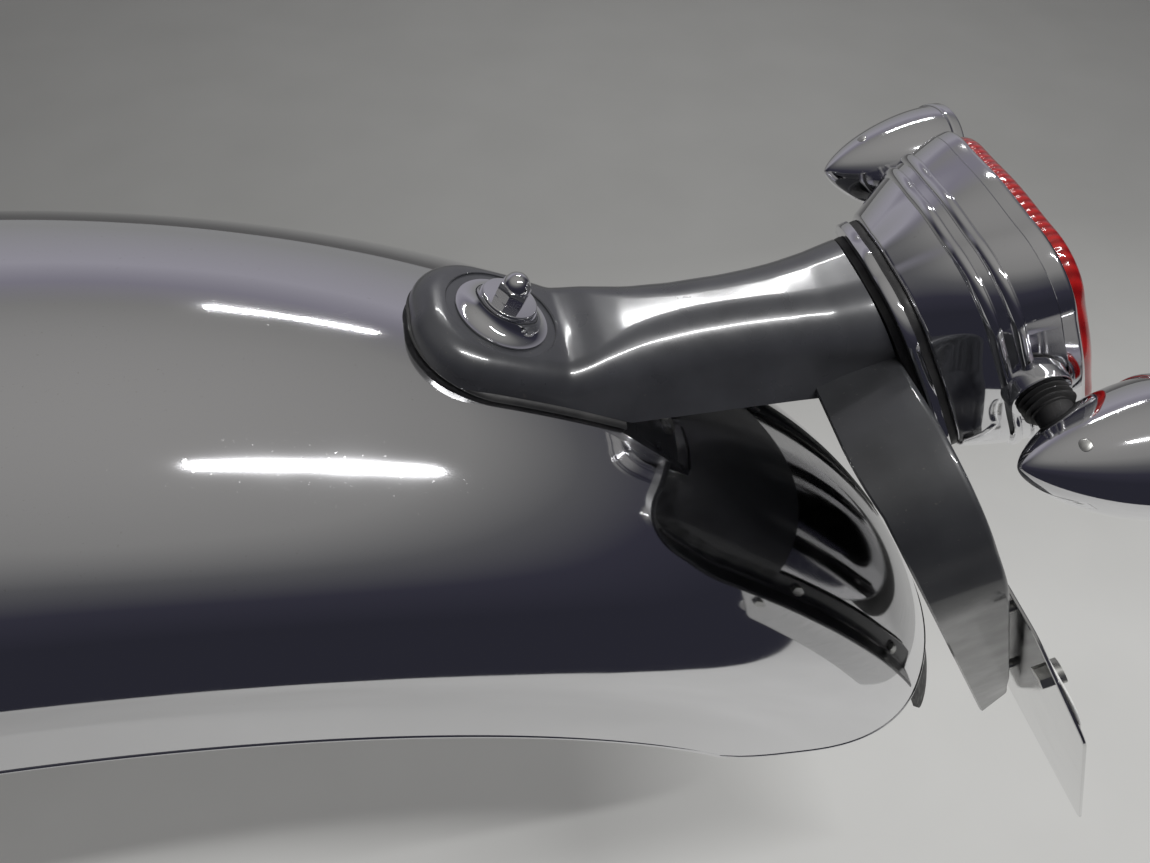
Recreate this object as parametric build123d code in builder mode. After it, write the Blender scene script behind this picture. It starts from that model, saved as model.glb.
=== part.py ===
from build123d import *
import os
from math import asin, atan, cos, degrees, radians, sin, tan

os.makedirs("parts", exist_ok=True)

# Motorcycle rear mudguard with its tail lamp carrier. Millimetres.
# +X points to the rear, +Y to the machine's right and +Z up.
# The origin is the crown's outer surface midway between the two frame bolt holes.

# Mudguard shell
crown_radius = 515.0            # crown line in side view
wrap_radius = 345.0             # tighter front part of the crown line
wrap_start = -8.0               # degrees where the tighter part begins, ahead of the origin
wrap_end = -60.0                # degrees where it ends
cross_radius = 120.6            # crown arc across the section
cross_half_angle = 40.0         # degrees of that arc each side
shoulder_radius = 66.0          # arc from the crown to the upright skirt
skirt_depth = 105.0             # crown to lower edge
sheet = 1.6                     # sheet thickness
hem_width = 3.6                 # folded lower edge
hem_height = 4.8
hem_proud = 0.8                 # how far it stands out of the skirt
hem_chamfer = 0.6
tail_angle = 48.5               # degrees where the lower edge turns into the tail
tail_slope = 14.7               # degrees that the tail's edge falls to the rear
tail_rounding = 95.0
tail_reach = 78.5               # degrees to which the sheet is drawn before its tail is cut

# Frame fixings
frame_bolt_spacing = 50.0
frame_bolt_radius = 4.25
through = 20.0                  # reach of the cuts that go through a sheet
saddle_angle = 6.5              # degrees each side of the origin
saddle_width = 64.0
saddle_thickness = 2.5
side_bolt_angle = -30.0
side_bolt_radius = 4.25
side_bolt_height = 13.0         # above the skirt's lower edge
side_pad_length = 46.0
side_pad_width = 20.0
side_pad_thickness = 3.0

# Carrier arm
stud_angle = 24.4               # degrees behind the origin, about the crown's centre
gasket_thickness = 3.0
arm_half_width = 28.0
arm_front = 30.0                # stud to the front of the base
arm_front_rounding = 24.0
base_height = 12.5              # top of the base above the crown
base_depth = 12.0               # below the crown, before the crown is cut away
base_rounding = 8.0
base_back = 19.0                # stud to the end of the base's top
step_rise = 15.0                # from there to the start of the beam's top
step_drop = 2.3                 # beam's top to the top of its start
step_rounding = 9.0
beam_rise = 45.0                # end of the base to the beam's full rounding and its hollow
beam_top_drop = 13.5            # rear plane's origin to the beam's top
beam_depth = 31.5
beam_top_half = 16.0            # half width of the beam's top before it is rounded
beam_rounding = 18.5
mouth_top_w = -4.0              # bell mouth's top on the rear plane
mouth_top_half = 24.0
mouth_half_width = 31.0
mouth_rounding = 20.0
arm_wall = 3.5
arm_end_wall = 4.0
flare_length = 14.0             # bell mouth where the arm meets the lamp
arm_reach = 260.0               # longer than the arm, for its outline from above
pocket_radius = 20.5
pocket_depth = 1.6

# Stud, cone, washer and cap nut
stud_radius = 3.0
stud_play = 0.5
cone_radius = 17.0
cone_top_radius = 10.5
cone_height = 6.5
cone_edge = 0.8
washer_radius = 10.0
washer_thickness = 1.6
nut_across_flats = 10.0
nut_height = 5.5
nut_bore = 7.0                  # depth of the blind thread
dome_radius = 4.75
under_plate_angle = 3.6         # degrees each side of the stud
under_plate_width = 46.0
under_plate_thickness = 2.5
stud_head_radius = 6.0
stud_head_height = 4.0
under_plate_sink = 1.0          # depth of the stud head's seat in the plate
stud_end_play = 1.0             # stud's end to the bottom of its thread

# Cover under the arm
cover_thickness = 2.0
cover_short = 7.0               # cover's end to the rear plane's origin
plug_ahead = 51.0               # plug to the rear plane's origin
plug_radius = 7.5
plug_neck = 5.0
plug_lip = 1.6
screw_ahead = 25.0
screw_flange = 8.5
screw_flange_height = 1.2
screw_head = 5.0
screw_head_height = 3.0
screw_shank = 2.5
screw_length = 10.0
screw_boss = 6.0

# Rear plane that carries the lamp and the plate: s runs behind it and w runs up it
rear_tilt = 28.5                # degrees from upright
rear_angle = 35.3               # degrees behind the origin, about the crown's centre
rear_rise = 85.4                # height of its origin over the crown line
yoke_face = -3.0                # rear face of the yoke
yoke_wall = 3.0
yoke_depth = 36.0               # rear plane to the front edge at the arm
yoke_shoulder_depth = 33.0
yoke_tip_depth = 21.0
yoke_web_bottom = -130.0
yoke_flange = 15.0
yoke_top = -24.0
yoke_shoulder_half = 58.0
yoke_shoulder_mid = (84.0, -33.0)
yoke_bend = (99.0, -60.0)
yoke_half_width = 104.0
yoke_widest = -88.0
yoke_foot_half = 77.0           # at the front of the tips
yoke_notch_w = -28.0
yoke_tip = -318.0
yoke_tip_front = -343.0
yoke_mid = -150.0               # height on the rear plane where its depth is given again
yoke_mid_depth = 28.5

# Tail lamp outlines: half width at the top and the bottom, top and bottom
lamp_foot = (42.0, 54.0, -1.0, -74.0)
lamp_rim = (52.0, 60.0, 3.0, -77.0)
lamp_corner = 26.0
foot_band = 4.0
foot_seal = 3.0
housing_depth = 38.0
bezel_depth = 6.0
lens_depth = 12.0
seal_inset = 1.5
lens_inset = 4.0
lens_start = 0.0                # bezel's front to the lens
bezel_rounding = 2.0
lens_edge = 5.0
housing_wall = 2.0
housing_ribs = (17.0, 24.0)     # foot seal to each rib round the housing
housing_rib_width = 3.5
housing_rib_height = 1.5
cable_w = -30.0
cable_radius = 6.0

# Direction indicators
indicator_half_spacing = 84.0
indicator_s = 34.0
indicator_w = -47.0
bowl_radius = 24.0
bowl_length = 42.0
bowl_front = 19.0               # nose to the stem
bowl_nose = 29.0                # length of the rounded nose
bowl_wall = 1.5
rim_radius = 25.0
rim_width = 5.0
rim_opening = 21.0
rim_rounding = 1.5
signal_dome = 6.0
stem_radius = 6.5
stem_start = 56.5               # centre plane to the boss on the lamp's flank
stem_length = 3.3
stem_ribs = 2
stem_rib_radius = 9.0
stem_rib_width = 0.8
boss_radius = 11.0
boss_depth = 12.0

# Number plate
panel_half_width = 146.0
panel_top = -116.0
panel_bottom = -342.0
panel_thickness = 1.5
panel_corner = 6.0
plate_margin = 6.0              # panel's side to the plate's side
plate_height = 200.0
plate_thickness = 1.0
plate_drop = 10.0               # panel's top to the plate's top
plate_corner = 10.0
plate_bolt_margin = 26.0        # panel's side to the plate's bolts
plate_bolt_drop = 24.0
leg_bolts = (-150.0, -280.0)    # heights on the rear plane
pad_radius = 7.0
bolt_radius = 2.5
head_radius = 4.0
head_height = 1.5
plate_head_radius = 5.0
plate_head_height = 3.0
small_nut = 8.0                 # across flats
small_nut_height = 4.0

# Tail flap under the mudguard's end
flap_start_angle = 54.0         # degrees behind the origin
flap_end_angle = 67.5
flap_thickness = 3.0
flap_half_width = 76.0
flap_corner = 22.0

clearance = 0.3

cross_angle = radians(cross_half_angle)
shoulder_y = (cross_radius - shoulder_radius) * sin(cross_angle)
shoulder_drop = cross_radius - (cross_radius - shoulder_radius) * cos(cross_angle)
half_width = shoulder_y + shoulder_radius
rear_sin = sin(radians(rear_tilt))
rear_cos = cos(radians(rear_tilt))
rear_x = (crown_radius + rear_rise) * sin(radians(rear_angle))
rear_z = (crown_radius + rear_rise) * cos(radians(rear_angle)) - crown_radius
signal_x = rear_x + indicator_s * rear_cos - indicator_w * rear_sin
signal_z = rear_z + indicator_s * rear_sin + indicator_w * rear_cos
rear_axis = Axis((rear_x, 0, rear_z), (rear_cos, 0, rear_sin))
crown_axis = Axis((0, 0, -crown_radius), (0, 1, 0))
wrap_x = (crown_radius - wrap_radius) * sin(radians(wrap_start))
wrap_z = (crown_radius - wrap_radius) * cos(radians(wrap_start)) - crown_radius
wrap_axis = Axis((wrap_x, 0, wrap_z), (0, 1, 0))
stud_turn = radians(stud_angle)
base_end_x = crown_radius * sin(stud_turn) + base_back
base_end_angle = degrees(asin(base_end_x / (crown_radius + base_height)))
beam_top_z = rear_z - beam_top_drop
beam_bottom_z = beam_top_z - beam_depth
arm_hollow_x = base_end_x + beam_rise
cover_end_x = rear_x - cover_short
plug_x = rear_x - plug_ahead
screw_x = rear_x - screw_ahead
plate_width = 2 * (panel_half_width - plate_margin)
plate_bolt_half = panel_half_width - plate_bolt_margin
stud_axis = Axis((0, 0, -crown_radius), (sin(stud_turn), 0, cos(stud_turn)))
stud_side = Plane(
    origin=(crown_radius * sin(stud_turn), 0, crown_radius * cos(stud_turn) - crown_radius),
    x_dir=(cos(stud_turn), 0, -sin(stud_turn)),
    z_dir=(0, -1, 0),
)
side_reach = wrap_radius - skirt_depth + side_bolt_height
side_turn = radians(side_bolt_angle)
side_bolt_plane = Plane(
    origin=(wrap_x + side_reach * sin(side_turn), 0, wrap_z + side_reach * cos(side_turn)),
    x_dir=(cos(side_turn), 0, -sin(side_turn)),
    z_dir=(0, 1, 0),
)


def crown_point(angle, height=0.0):
    """Side view x, z over the crown line, angle degrees behind the origin."""
    radius = crown_radius + height
    return (radius * sin(radians(angle)), radius * cos(radians(angle)) - crown_radius)


def crown_plane(angle, height=0.0):
    """Plane across the mudguard: local x is +Y, local y points out of the crown."""
    x, z = crown_point(angle, height)
    turn = radians(angle)
    return Plane(origin=(x, 0, z), x_dir=(0, 1, 0), z_dir=(cos(turn), 0, -sin(turn)))


def normal_plane(angle, height=0.0):
    """Plane resting on the crown: local x runs back along it and local z out of it."""
    x, z = crown_point(angle, height)
    turn = radians(angle)
    return Plane(origin=(x, 0, z), x_dir=(cos(turn), 0, -sin(turn)), z_dir=(sin(turn), 0, cos(turn)))


def rear_plane(s=0.0):
    """Plane along the rear plane, s behind it: local x is +Y and local y is w."""
    origin = (rear_x + s * rear_cos, 0, rear_z + s * rear_sin)
    return Plane(origin=origin, x_dir=(0, 1, 0), z_dir=(rear_cos, 0, rear_sin))


def rear_point(s, w):
    """Side view x, z of a point s behind the rear plane and w up it."""
    return (rear_x + s * rear_cos - w * rear_sin, rear_z + s * rear_sin + w * rear_cos)


def outline(offset):
    """Open line of the section from skirt edge to skirt edge, offset outwards."""
    crown = cross_radius + offset
    side = shoulder_radius + offset
    turn = (cross_angle + radians(90)) / 2
    joint = (crown * sin(cross_angle), crown * cos(cross_angle) - cross_radius)
    bend = (shoulder_y + side * sin(turn), side * cos(turn) - shoulder_drop)
    low = (half_width + offset, -shoulder_drop)
    edge = (half_width + offset, -skirt_depth)
    half = cross_angle / 2
    flank = (crown * sin(half), crown * cos(half) - cross_radius)
    slope = (cos(cross_angle), sin(cross_angle))
    Spline(
        (-joint[0], joint[1]), (-flank[0], flank[1]), (0, offset), flank, joint,
        tangents=(slope, (slope[0], -slope[1])),
    )
    for side in (-1, 1):
        ThreePointArc((side * joint[0], joint[1]), (side * bend[0], bend[1]), (side * low[0], low[1]))
        Line((side * low[0], low[1]), (side * edge[0], edge[1]))
    return edge


def core_section(plane, offset):
    """Closed section under the outer surface moved outwards by offset."""
    with BuildSketch(plane) as face:
        with BuildLine():
            edge = outline(offset)
            Line(edge, (-edge[0], edge[1]))
        make_face()
    return face.sketch


def hem_section(plane):
    """Sections of the folded edges along both skirts."""
    middle = half_width + hem_proud - hem_width / 2
    with BuildSketch(plane) as strips:
        with Locations((-middle, -skirt_depth), (middle, -skirt_depth)):
            Rectangle(hem_width, hem_height)
        chamfer(strips.vertices(), hem_chamfer)
    return strips.sketch


def crown_core(offset, start, end):
    """Solid under the crown's surface moved outwards by offset."""
    with BuildPart() as core:
        revolve(core_section(crown_plane(start), offset), axis=crown_axis, revolution_arc=end - start)
    return core.part


def crown_layer(outer, inner, start, end):
    """Curved layer between two offsets of the crown's surface."""
    with BuildPart() as layer:
        add(crown_core(outer, start, end))
        add(crown_core(inner, start, end), mode=Mode.SUBTRACT)
    return layer.part


def bolt_circles(radius):
    """Circles of the two frame bolts, seen from above."""
    with BuildSketch(Plane.XY) as circles:
        with Locations((-frame_bolt_spacing / 2, 0), (frame_bolt_spacing / 2, 0)):
            Circle(radius)
    return circles.sketch


def rear_level(s, z):
    """Side view x, z of the point s behind the rear plane at height z."""
    return rear_point(s, (z - rear_z - s * rear_sin) / rear_cos)


def cable_circle(s):
    """Circle of the lamp's cable hole, s behind the rear plane."""
    with BuildSketch(rear_plane(s)) as circle:
        with Locations((0, cable_w)):
            Circle(cable_radius)
    return circle.sketch


def arm_section(plane, top, bottom, top_half, bottom_half, rounding):
    """Section across the arm, wider at its foot and rounded at its top corners."""
    with BuildSketch(plane) as section:
        with BuildLine():
            Polyline((-bottom_half, bottom), (bottom_half, bottom), (top_half, top), (-top_half, top), close=True)
        make_face()
        fillet(section.vertices().group_by(Axis.Y)[-1], rounding)
    return section.sketch


def beam_section(x, inset=0.0):
    """Section of the beam at x, inset from its top and sides."""
    return arm_section(Plane.YZ.offset(x), beam_top_z - inset, beam_bottom_z, beam_top_half - inset,
                       arm_half_width - inset, beam_rounding - inset)


def arm_body():
    """Arm before it is hollowed: its base along the crown, and the beam with its bell mouth."""
    front_angle = stud_angle - degrees(2 * arm_front / crown_radius)
    base_end = crown_point(base_end_angle, base_height)
    mouth_w = (beam_bottom_z - rear_z - yoke_face * rear_sin) / rear_cos
    flare_x = rear_point(yoke_face, mouth_top_w)[0] - flare_length
    with BuildPart() as body:
        with BuildSketch(Plane.XZ.offset(-arm_half_width)):
            with BuildLine():
                ThreePointArc(
                    crown_point(front_angle, base_height),
                    crown_point((front_angle + base_end_angle) / 2, base_height),
                    base_end,
                )
                Polyline(base_end, crown_point(base_end_angle, -base_depth),
                         crown_point(front_angle, -base_depth), crown_point(front_angle, base_height))
            make_face()
        extrude(amount=2 * arm_half_width)
        extrude(arm_plan(), amount=arm_reach, both=True, mode=Mode.INTERSECT)
        rims = body.faces().filter_by(lambda face: face.normal_at().Z > 0.6).edges()
        fillet(rims.sort_by(Axis.X)[:-1], base_rounding)
        loft([
            arm_section(crown_plane(base_end_angle), base_height, -base_depth, arm_half_width, arm_half_width,
                        base_rounding),
            arm_section(Plane.YZ.offset(base_end_x + step_rise), beam_top_z - step_drop, beam_bottom_z,
                        arm_half_width, arm_half_width, step_rounding),
            beam_section(arm_hollow_x),
        ])
        extrude(beam_section(arm_hollow_x), amount=flare_x - arm_hollow_x)
        loft([
            beam_section(flare_x),
            arm_section(rear_plane(yoke_face), mouth_top_w, mouth_w, mouth_top_half, mouth_half_width,
                        mouth_rounding),
        ])
        add(crown_core(gasket_thickness + clearance, wrap_start, tail_angle), mode=Mode.SUBTRACT)
    return body.part


def stud_circle(radius, height=0.0):
    """Circle round the stud, height above the crown."""
    with BuildSketch(normal_plane(stud_angle, height)) as circle:
        Circle(radius)
    return circle.sketch


def arm_plan():
    """Carrier arm's outline from above, square to the stud, with its rounded front."""
    with BuildSketch(normal_plane(stud_angle)) as plan:
        with Locations(((arm_reach - arm_front) / 2, 0)):
            Rectangle(arm_reach + arm_front, 2 * arm_half_width)
        fillet(plan.vertices().sort_by(Axis.X)[:2], arm_front_rounding)
    return plan.sketch


def yoke_outline(s, inset=0.0, top=yoke_top + yoke_wall):
    """Yoke's outline on the rear plane, inset from its edge and cut off above top."""
    with BuildSketch(rear_plane(s)) as face:
        with BuildLine():
            for side in (-1, 1):
                shoulder = (side * yoke_shoulder_half, yoke_top)
                bend = (side * yoke_bend[0], yoke_bend[1])
                widest = (side * yoke_half_width, yoke_widest)
                foot = (side * yoke_foot_half, yoke_tip_front)
                Line((0, yoke_notch_w), (side * arm_half_width, yoke_notch_w))
                Line((side * arm_half_width, yoke_notch_w), shoulder)
                ThreePointArc(shoulder, (side * yoke_shoulder_mid[0], yoke_shoulder_mid[1]), bend)
                TangentArc(widest, bend, tangent=(widest[0] - foot[0], widest[1] - foot[1]))
                Line(widest, foot)
            Line((-yoke_foot_half, yoke_tip_front), (yoke_foot_half, yoke_tip_front))
        make_face()
        if inset:
            offset(amount=-inset)
            with Locations((0, yoke_tip_front)):
                Rectangle(2 * (yoke_foot_half - inset), 4 * inset)
        with Locations((0, top)):
            Rectangle(4 * yoke_half_width, 4 * yoke_half_width, align=(Align.CENTER, Align.MAX),
                      mode=Mode.INTERSECT)
    return face.sketch


def leg_bolt_y(w):
    """Distance from the centre plane to a leg's bolt at height w."""
    share = (yoke_widest - w) / (yoke_widest - yoke_tip_front)
    edge = yoke_half_width + (yoke_foot_half - yoke_half_width) * share
    return edge - yoke_wall - yoke_flange / 2


def lamp_outline(s, sizes, outset=0.0):
    """Rounded outline across the lamp, s behind the rear plane, moved outwards by outset."""
    top, bottom, high, low = sizes
    with BuildSketch(rear_plane(s)) as face:
        with BuildLine():
            Polyline((-bottom, low), (bottom, low), (top, high), (-top, high), close=True)
        make_face()
        fillet(face.vertices(), lamp_corner)
        if outset:
            offset(amount=outset)
    return face.sketch


def housing_section(reach, outset=0.0):
    """Lamp housing's outline at a reach behind the foot seal."""
    share = reach / housing_depth
    sizes = [foot + (rim - foot) * share for foot, rim in zip(lamp_foot, lamp_rim)]
    return lamp_outline(foot_band + foot_seal + reach, sizes, outset)


def signal_side(side):
    """Side view plane through an indicator's middle: local x is +X and local y is +Z."""
    origin = (signal_x, side * indicator_half_spacing, signal_z)
    return Plane(origin=origin, x_dir=(1, 0, 0), z_dir=(0, -1, 0))


def signal_circle(side, reach, radius):
    """Circle round an indicator's stem at a reach from the centre plane, facing outwards."""
    with BuildSketch(Plane(origin=(signal_x, side * reach, signal_z), x_dir=(1, 0, 0), z_dir=(0, side, 0))) as face:
        Circle(radius)
    return face.sketch


def bullet(side, inset):
    """Half profile of an indicator bowl, inset from its outside."""
    shoulder = bowl_nose - bowl_front
    rear = bowl_length - bowl_front
    radius = bowl_radius - inset
    with BuildSketch(signal_side(side)) as face:
        with BuildLine():
            EllipticalCenterArc((shoulder, 0), bowl_nose - inset, radius, start_angle=90, arc_size=90)
            Polyline((shoulder, radius), (rear, radius), (rear, 0), (inset - bowl_front, 0))
        make_face()
    return face.sketch


def sunk_bolt(place, extra):
    """Panel bolt with a sunk head, grown by extra round its axis."""
    with BuildPart() as bolt:
        with BuildSketch(rear_plane(panel_thickness)):
            with Locations(place):
                Circle(head_radius + extra)
        extrude(amount=-head_height, taper=degrees(atan((head_radius - bolt_radius) / head_height)))
        with BuildSketch(rear_plane(panel_thickness)):
            with Locations(place):
                Circle(bolt_radius + extra)
        extrude(amount=yoke_face - yoke_wall - small_nut_height - panel_thickness)
    return bolt.part


def finish(part, label):
    """Name a finished piece and write it."""
    part.label = label
    export_step(part, "parts/" + label + ".step")


panel_bolt_places = [(side * leg_bolt_y(w), w) for w in leg_bolts for side in (-1, 1)]
plate_bolt_places = [(side * plate_bolt_half, panel_top - plate_bolt_drop) for side in (-1, 1)]

# Mudguard: crown, shoulders and skirts in one sheet with a folded lower edge
with BuildPart() as mudguard:
    stretches = ((crown_axis, tail_reach - wrap_start), (wrap_axis, wrap_end - wrap_start))
    outside = core_section(crown_plane(wrap_start), 0)
    inside = core_section(crown_plane(wrap_start), -sheet)
    for axis, arc in stretches:
        revolve(outside, axis=axis, revolution_arc=arc)
    for axis, arc in stretches:
        revolve(inside, axis=axis, revolution_arc=arc, mode=Mode.SUBTRACT)
    for axis, arc in stretches:
        revolve(hem_section(crown_plane(wrap_start)), axis=axis, revolution_arc=arc)
    edge_radius = crown_radius - skirt_depth - hem_height / 2 - clearance
    turn = radians(tail_angle)
    corner = (edge_radius * sin(turn), edge_radius * cos(turn) - crown_radius)
    middle = (edge_radius * sin(turn / 2), edge_radius * cos(turn / 2) - crown_radius)
    reach = crown_radius * 1.4
    drop = (reach - corner[0]) * tan(radians(tail_slope))
    with BuildSketch(Plane.XZ) as below:
        with BuildLine():
            ThreePointArc((0, edge_radius - crown_radius), middle, corner)
            Polyline(corner, (reach, corner[1] - drop), (reach, -reach), (0, -reach))
            Line((0, -reach), (0, edge_radius - crown_radius))
        make_face()
        fillet(below.vertices().sort_by_distance((corner[0], corner[1], 0))[0], tail_rounding)
    extrude(amount=2 * half_width, both=True, mode=Mode.SUBTRACT)
    extrude(bolt_circles(frame_bolt_radius), amount=through, both=True, mode=Mode.SUBTRACT)
    with BuildSketch(side_bolt_plane):
        Circle(side_bolt_radius)
    extrude(amount=2 * half_width, both=True, mode=Mode.SUBTRACT)
    extrude(stud_circle(stud_radius + stud_play), amount=through, both=True, mode=Mode.SUBTRACT)
finish(mudguard.part, "mudguard")

# Saddle plate under the crown where the frame bolts pass
with BuildPart() as saddle_plate:
    top = -sheet - clearance
    add(crown_layer(top, top - saddle_thickness, -saddle_angle, saddle_angle))
    with BuildSketch(Plane.XY):
        Rectangle(crown_radius, saddle_width)
    extrude(amount=crown_radius, both=True, mode=Mode.INTERSECT)
    extrude(bolt_circles(frame_bolt_radius), amount=through, both=True, mode=Mode.SUBTRACT)
finish(saddle_plate.part, "saddle_plate")

# Pads inside the skirts round the side bolt holes
for side, label in ((-1, "side_pad_left"), (1, "side_pad_right")):
    with BuildPart() as side_pad:
        with BuildSketch(side_bolt_plane.offset(side * (half_width - sheet))):
            SlotOverall(side_pad_length, side_pad_width)
            Circle(side_bolt_radius, mode=Mode.SUBTRACT)
        extrude(amount=-side * side_pad_thickness)
    finish(side_pad.part, label)

# Rubber gasket between the crown and the carrier arm
with BuildPart() as arm_gasket:
    add(crown_layer(gasket_thickness, clearance, wrap_start, tail_angle))
    extrude(arm_plan(), amount=arm_reach, both=True, mode=Mode.INTERSECT)
    with BuildSketch(Plane.XY.offset(beam_bottom_z)):
        Rectangle(4 * arm_reach, 2 * half_width)
    extrude(amount=-arm_reach, mode=Mode.SUBTRACT)
    extrude(stud_circle(stud_radius + stud_play), amount=through, both=True, mode=Mode.SUBTRACT)
finish(arm_gasket.part, "arm_gasket")

# Carrier arm: a domed base on the crown and a beam, open below, that runs back to the lamp
inner_half = arm_half_width - arm_wall
hollow_top = beam_top_z - arm_wall
end_wall = yoke_face - arm_end_wall
with BuildPart() as arm_hollow:
    extrude(beam_section(arm_hollow_x, arm_wall), amount=arm_reach)
    with BuildSketch(Plane.XY.offset(beam_bottom_z)):
        with Locations((arm_hollow_x, 0)):
            Rectangle(arm_reach, 2 * inner_half, align=(Align.MIN, Align.CENTER))
    extrude(amount=2 * cover_thickness)
    with BuildSketch(rear_plane(end_wall)):
        Rectangle(2 * arm_reach, 2 * arm_reach)
    extrude(amount=-arm_reach, mode=Mode.INTERSECT)

with BuildPart() as lamp_arm:
    add(arm_body())
    add(arm_hollow.part, mode=Mode.SUBTRACT)
    with BuildSketch(Plane.XY.offset(beam_bottom_z + cover_thickness)):
        with Locations((screw_x, 0)):
            Circle(screw_boss)
    extrude(amount=hollow_top - beam_bottom_z - cover_thickness)
    with BuildSketch(Plane.XY.offset(beam_bottom_z)):
        with Locations((screw_x, 0)):
            Circle(screw_shank + clearance)
    extrude(amount=screw_length, mode=Mode.SUBTRACT)
    extrude(cable_circle(end_wall - through), amount=2 * through, mode=Mode.SUBTRACT)
    extrude(stud_circle(pocket_radius, base_height - pocket_depth), amount=through, mode=Mode.SUBTRACT)
    extrude(stud_circle(stud_radius + stud_play), amount=through, mode=Mode.SUBTRACT)
finish(lamp_arm.part, "lamp_arm")

# Cupped cone in the base's pocket
cone_foot = base_height - pocket_depth
with BuildPart() as cone_cup:
    with BuildSketch(stud_side):
        with BuildLine():
            Line((stud_radius + stud_play, cone_foot), (cone_radius, cone_foot))
            Line((cone_radius, cone_foot), (cone_radius, cone_foot + cone_edge))
            Spline(
                (cone_radius, cone_foot + cone_edge),
                (cone_top_radius, cone_foot + cone_height),
                tangents=((-1, 0.2), (-0.5, 1)),
            )
            Line((cone_top_radius, cone_foot + cone_height), (stud_radius + stud_play, cone_foot + cone_height))
            Line((stud_radius + stud_play, cone_foot + cone_height), (stud_radius + stud_play, cone_foot))
        make_face()
    revolve(axis=stud_axis)
finish(cone_cup.part, "cone_cup")

# Washer and cap nut on the stud
washer_foot = cone_foot + cone_height
with BuildPart() as flange_washer:
    extrude(stud_circle(washer_radius, washer_foot), amount=washer_thickness)
    chamfer(flange_washer.faces().sort_by(stud_axis)[-1].edges(), washer_thickness / 4)
    extrude(stud_circle(stud_radius + stud_play, washer_foot), amount=through, mode=Mode.SUBTRACT)
finish(flange_washer.part, "flange_washer")

nut_foot = washer_foot + washer_thickness
with BuildPart() as cap_nut:
    with BuildSketch(normal_plane(stud_angle, nut_foot)):
        RegularPolygon(nut_across_flats / 2, 6, major_radius=False)
    extrude(amount=nut_height)
    with BuildSketch(stud_side):
        with BuildLine():
            Line((0, nut_foot), (dome_radius, nut_foot))
            Line((dome_radius, nut_foot), (dome_radius, nut_foot + nut_height))
            CenterArc((0, nut_foot + nut_height), dome_radius, 0, 90)
            Line((0, nut_foot + nut_height + dome_radius), (0, nut_foot))
        make_face()
    revolve(axis=stud_axis)
    extrude(stud_circle(stud_radius, nut_foot), amount=nut_bore, mode=Mode.SUBTRACT)
finish(cap_nut.part, "cap_nut")

# Plate under the crown and the stud that clamps the arm through it
with BuildPart() as under_plate:
    top = -sheet - clearance
    add(crown_layer(top, top - under_plate_thickness, stud_angle - under_plate_angle,
                    stud_angle + under_plate_angle))
    with BuildSketch(normal_plane(stud_angle)):
        Rectangle(crown_radius, under_plate_width)
    extrude(amount=through, both=True, mode=Mode.INTERSECT)
    extrude(stud_circle(stud_head_radius + stud_play, top - under_plate_thickness - through),
            amount=through + under_plate_sink, mode=Mode.SUBTRACT)
    extrude(stud_circle(stud_radius + stud_play), amount=through, both=True, mode=Mode.SUBTRACT)
finish(under_plate.part, "under_plate")

stud_seat = -sheet - clearance - under_plate_thickness + under_plate_sink
with BuildPart() as arm_stud:
    extrude(stud_circle(stud_head_radius, stud_seat - stud_head_height), amount=stud_head_height)
    extrude(stud_circle(stud_radius, stud_seat), amount=nut_foot + nut_bore - stud_end_play - stud_seat)
finish(arm_stud.part, "arm_stud")

# Cover that closes the arm from below, with its cable plug and its screw
cover_bottom = Plane.XY.offset(beam_bottom_z)
with BuildPart() as arm_cover:
    start = arm_hollow_x + clearance
    with BuildSketch(cover_bottom):
        with Locations(((start + cover_end_x) / 2, 0)):
            Rectangle(cover_end_x - start, 2 * (inner_half - clearance))
        with Locations((plug_x, 0)):
            Circle(plug_neck, mode=Mode.SUBTRACT)
        with Locations((screw_x, 0)):
            Circle(screw_shank + clearance, mode=Mode.SUBTRACT)
    extrude(amount=cover_thickness)
finish(arm_cover.part, "arm_cover")

with BuildPart() as cable_plug:
    with BuildSketch(cover_bottom.offset(-plug_lip)):
        with Locations((plug_x, 0)):
            Circle(plug_radius)
    extrude(amount=plug_lip)
    with BuildSketch(cover_bottom):
        with Locations((plug_x, 0)):
            Circle(plug_neck)
    extrude(amount=cover_thickness)
    with BuildSketch(cover_bottom.offset(cover_thickness)):
        with Locations((plug_x, 0)):
            Circle(plug_neck + plug_lip)
    extrude(amount=plug_lip)
finish(cable_plug.part, "cable_plug")

with BuildPart() as cover_screw:
    with BuildSketch(cover_bottom.offset(-screw_flange_height)):
        with Locations((screw_x, 0)):
            Circle(screw_flange)
    extrude(amount=screw_flange_height)
    with BuildSketch(cover_bottom.offset(-screw_flange_height)):
        with Locations((screw_x, 0)):
            RegularPolygon(screw_head, 6, major_radius=False)
    extrude(amount=-screw_head_height)
    with BuildSketch(cover_bottom):
        with Locations((screw_x, 0)):
            Circle(screw_shank)
    extrude(amount=screw_length - stud_end_play)
finish(cover_screw.part, "cover_screw")

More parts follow.
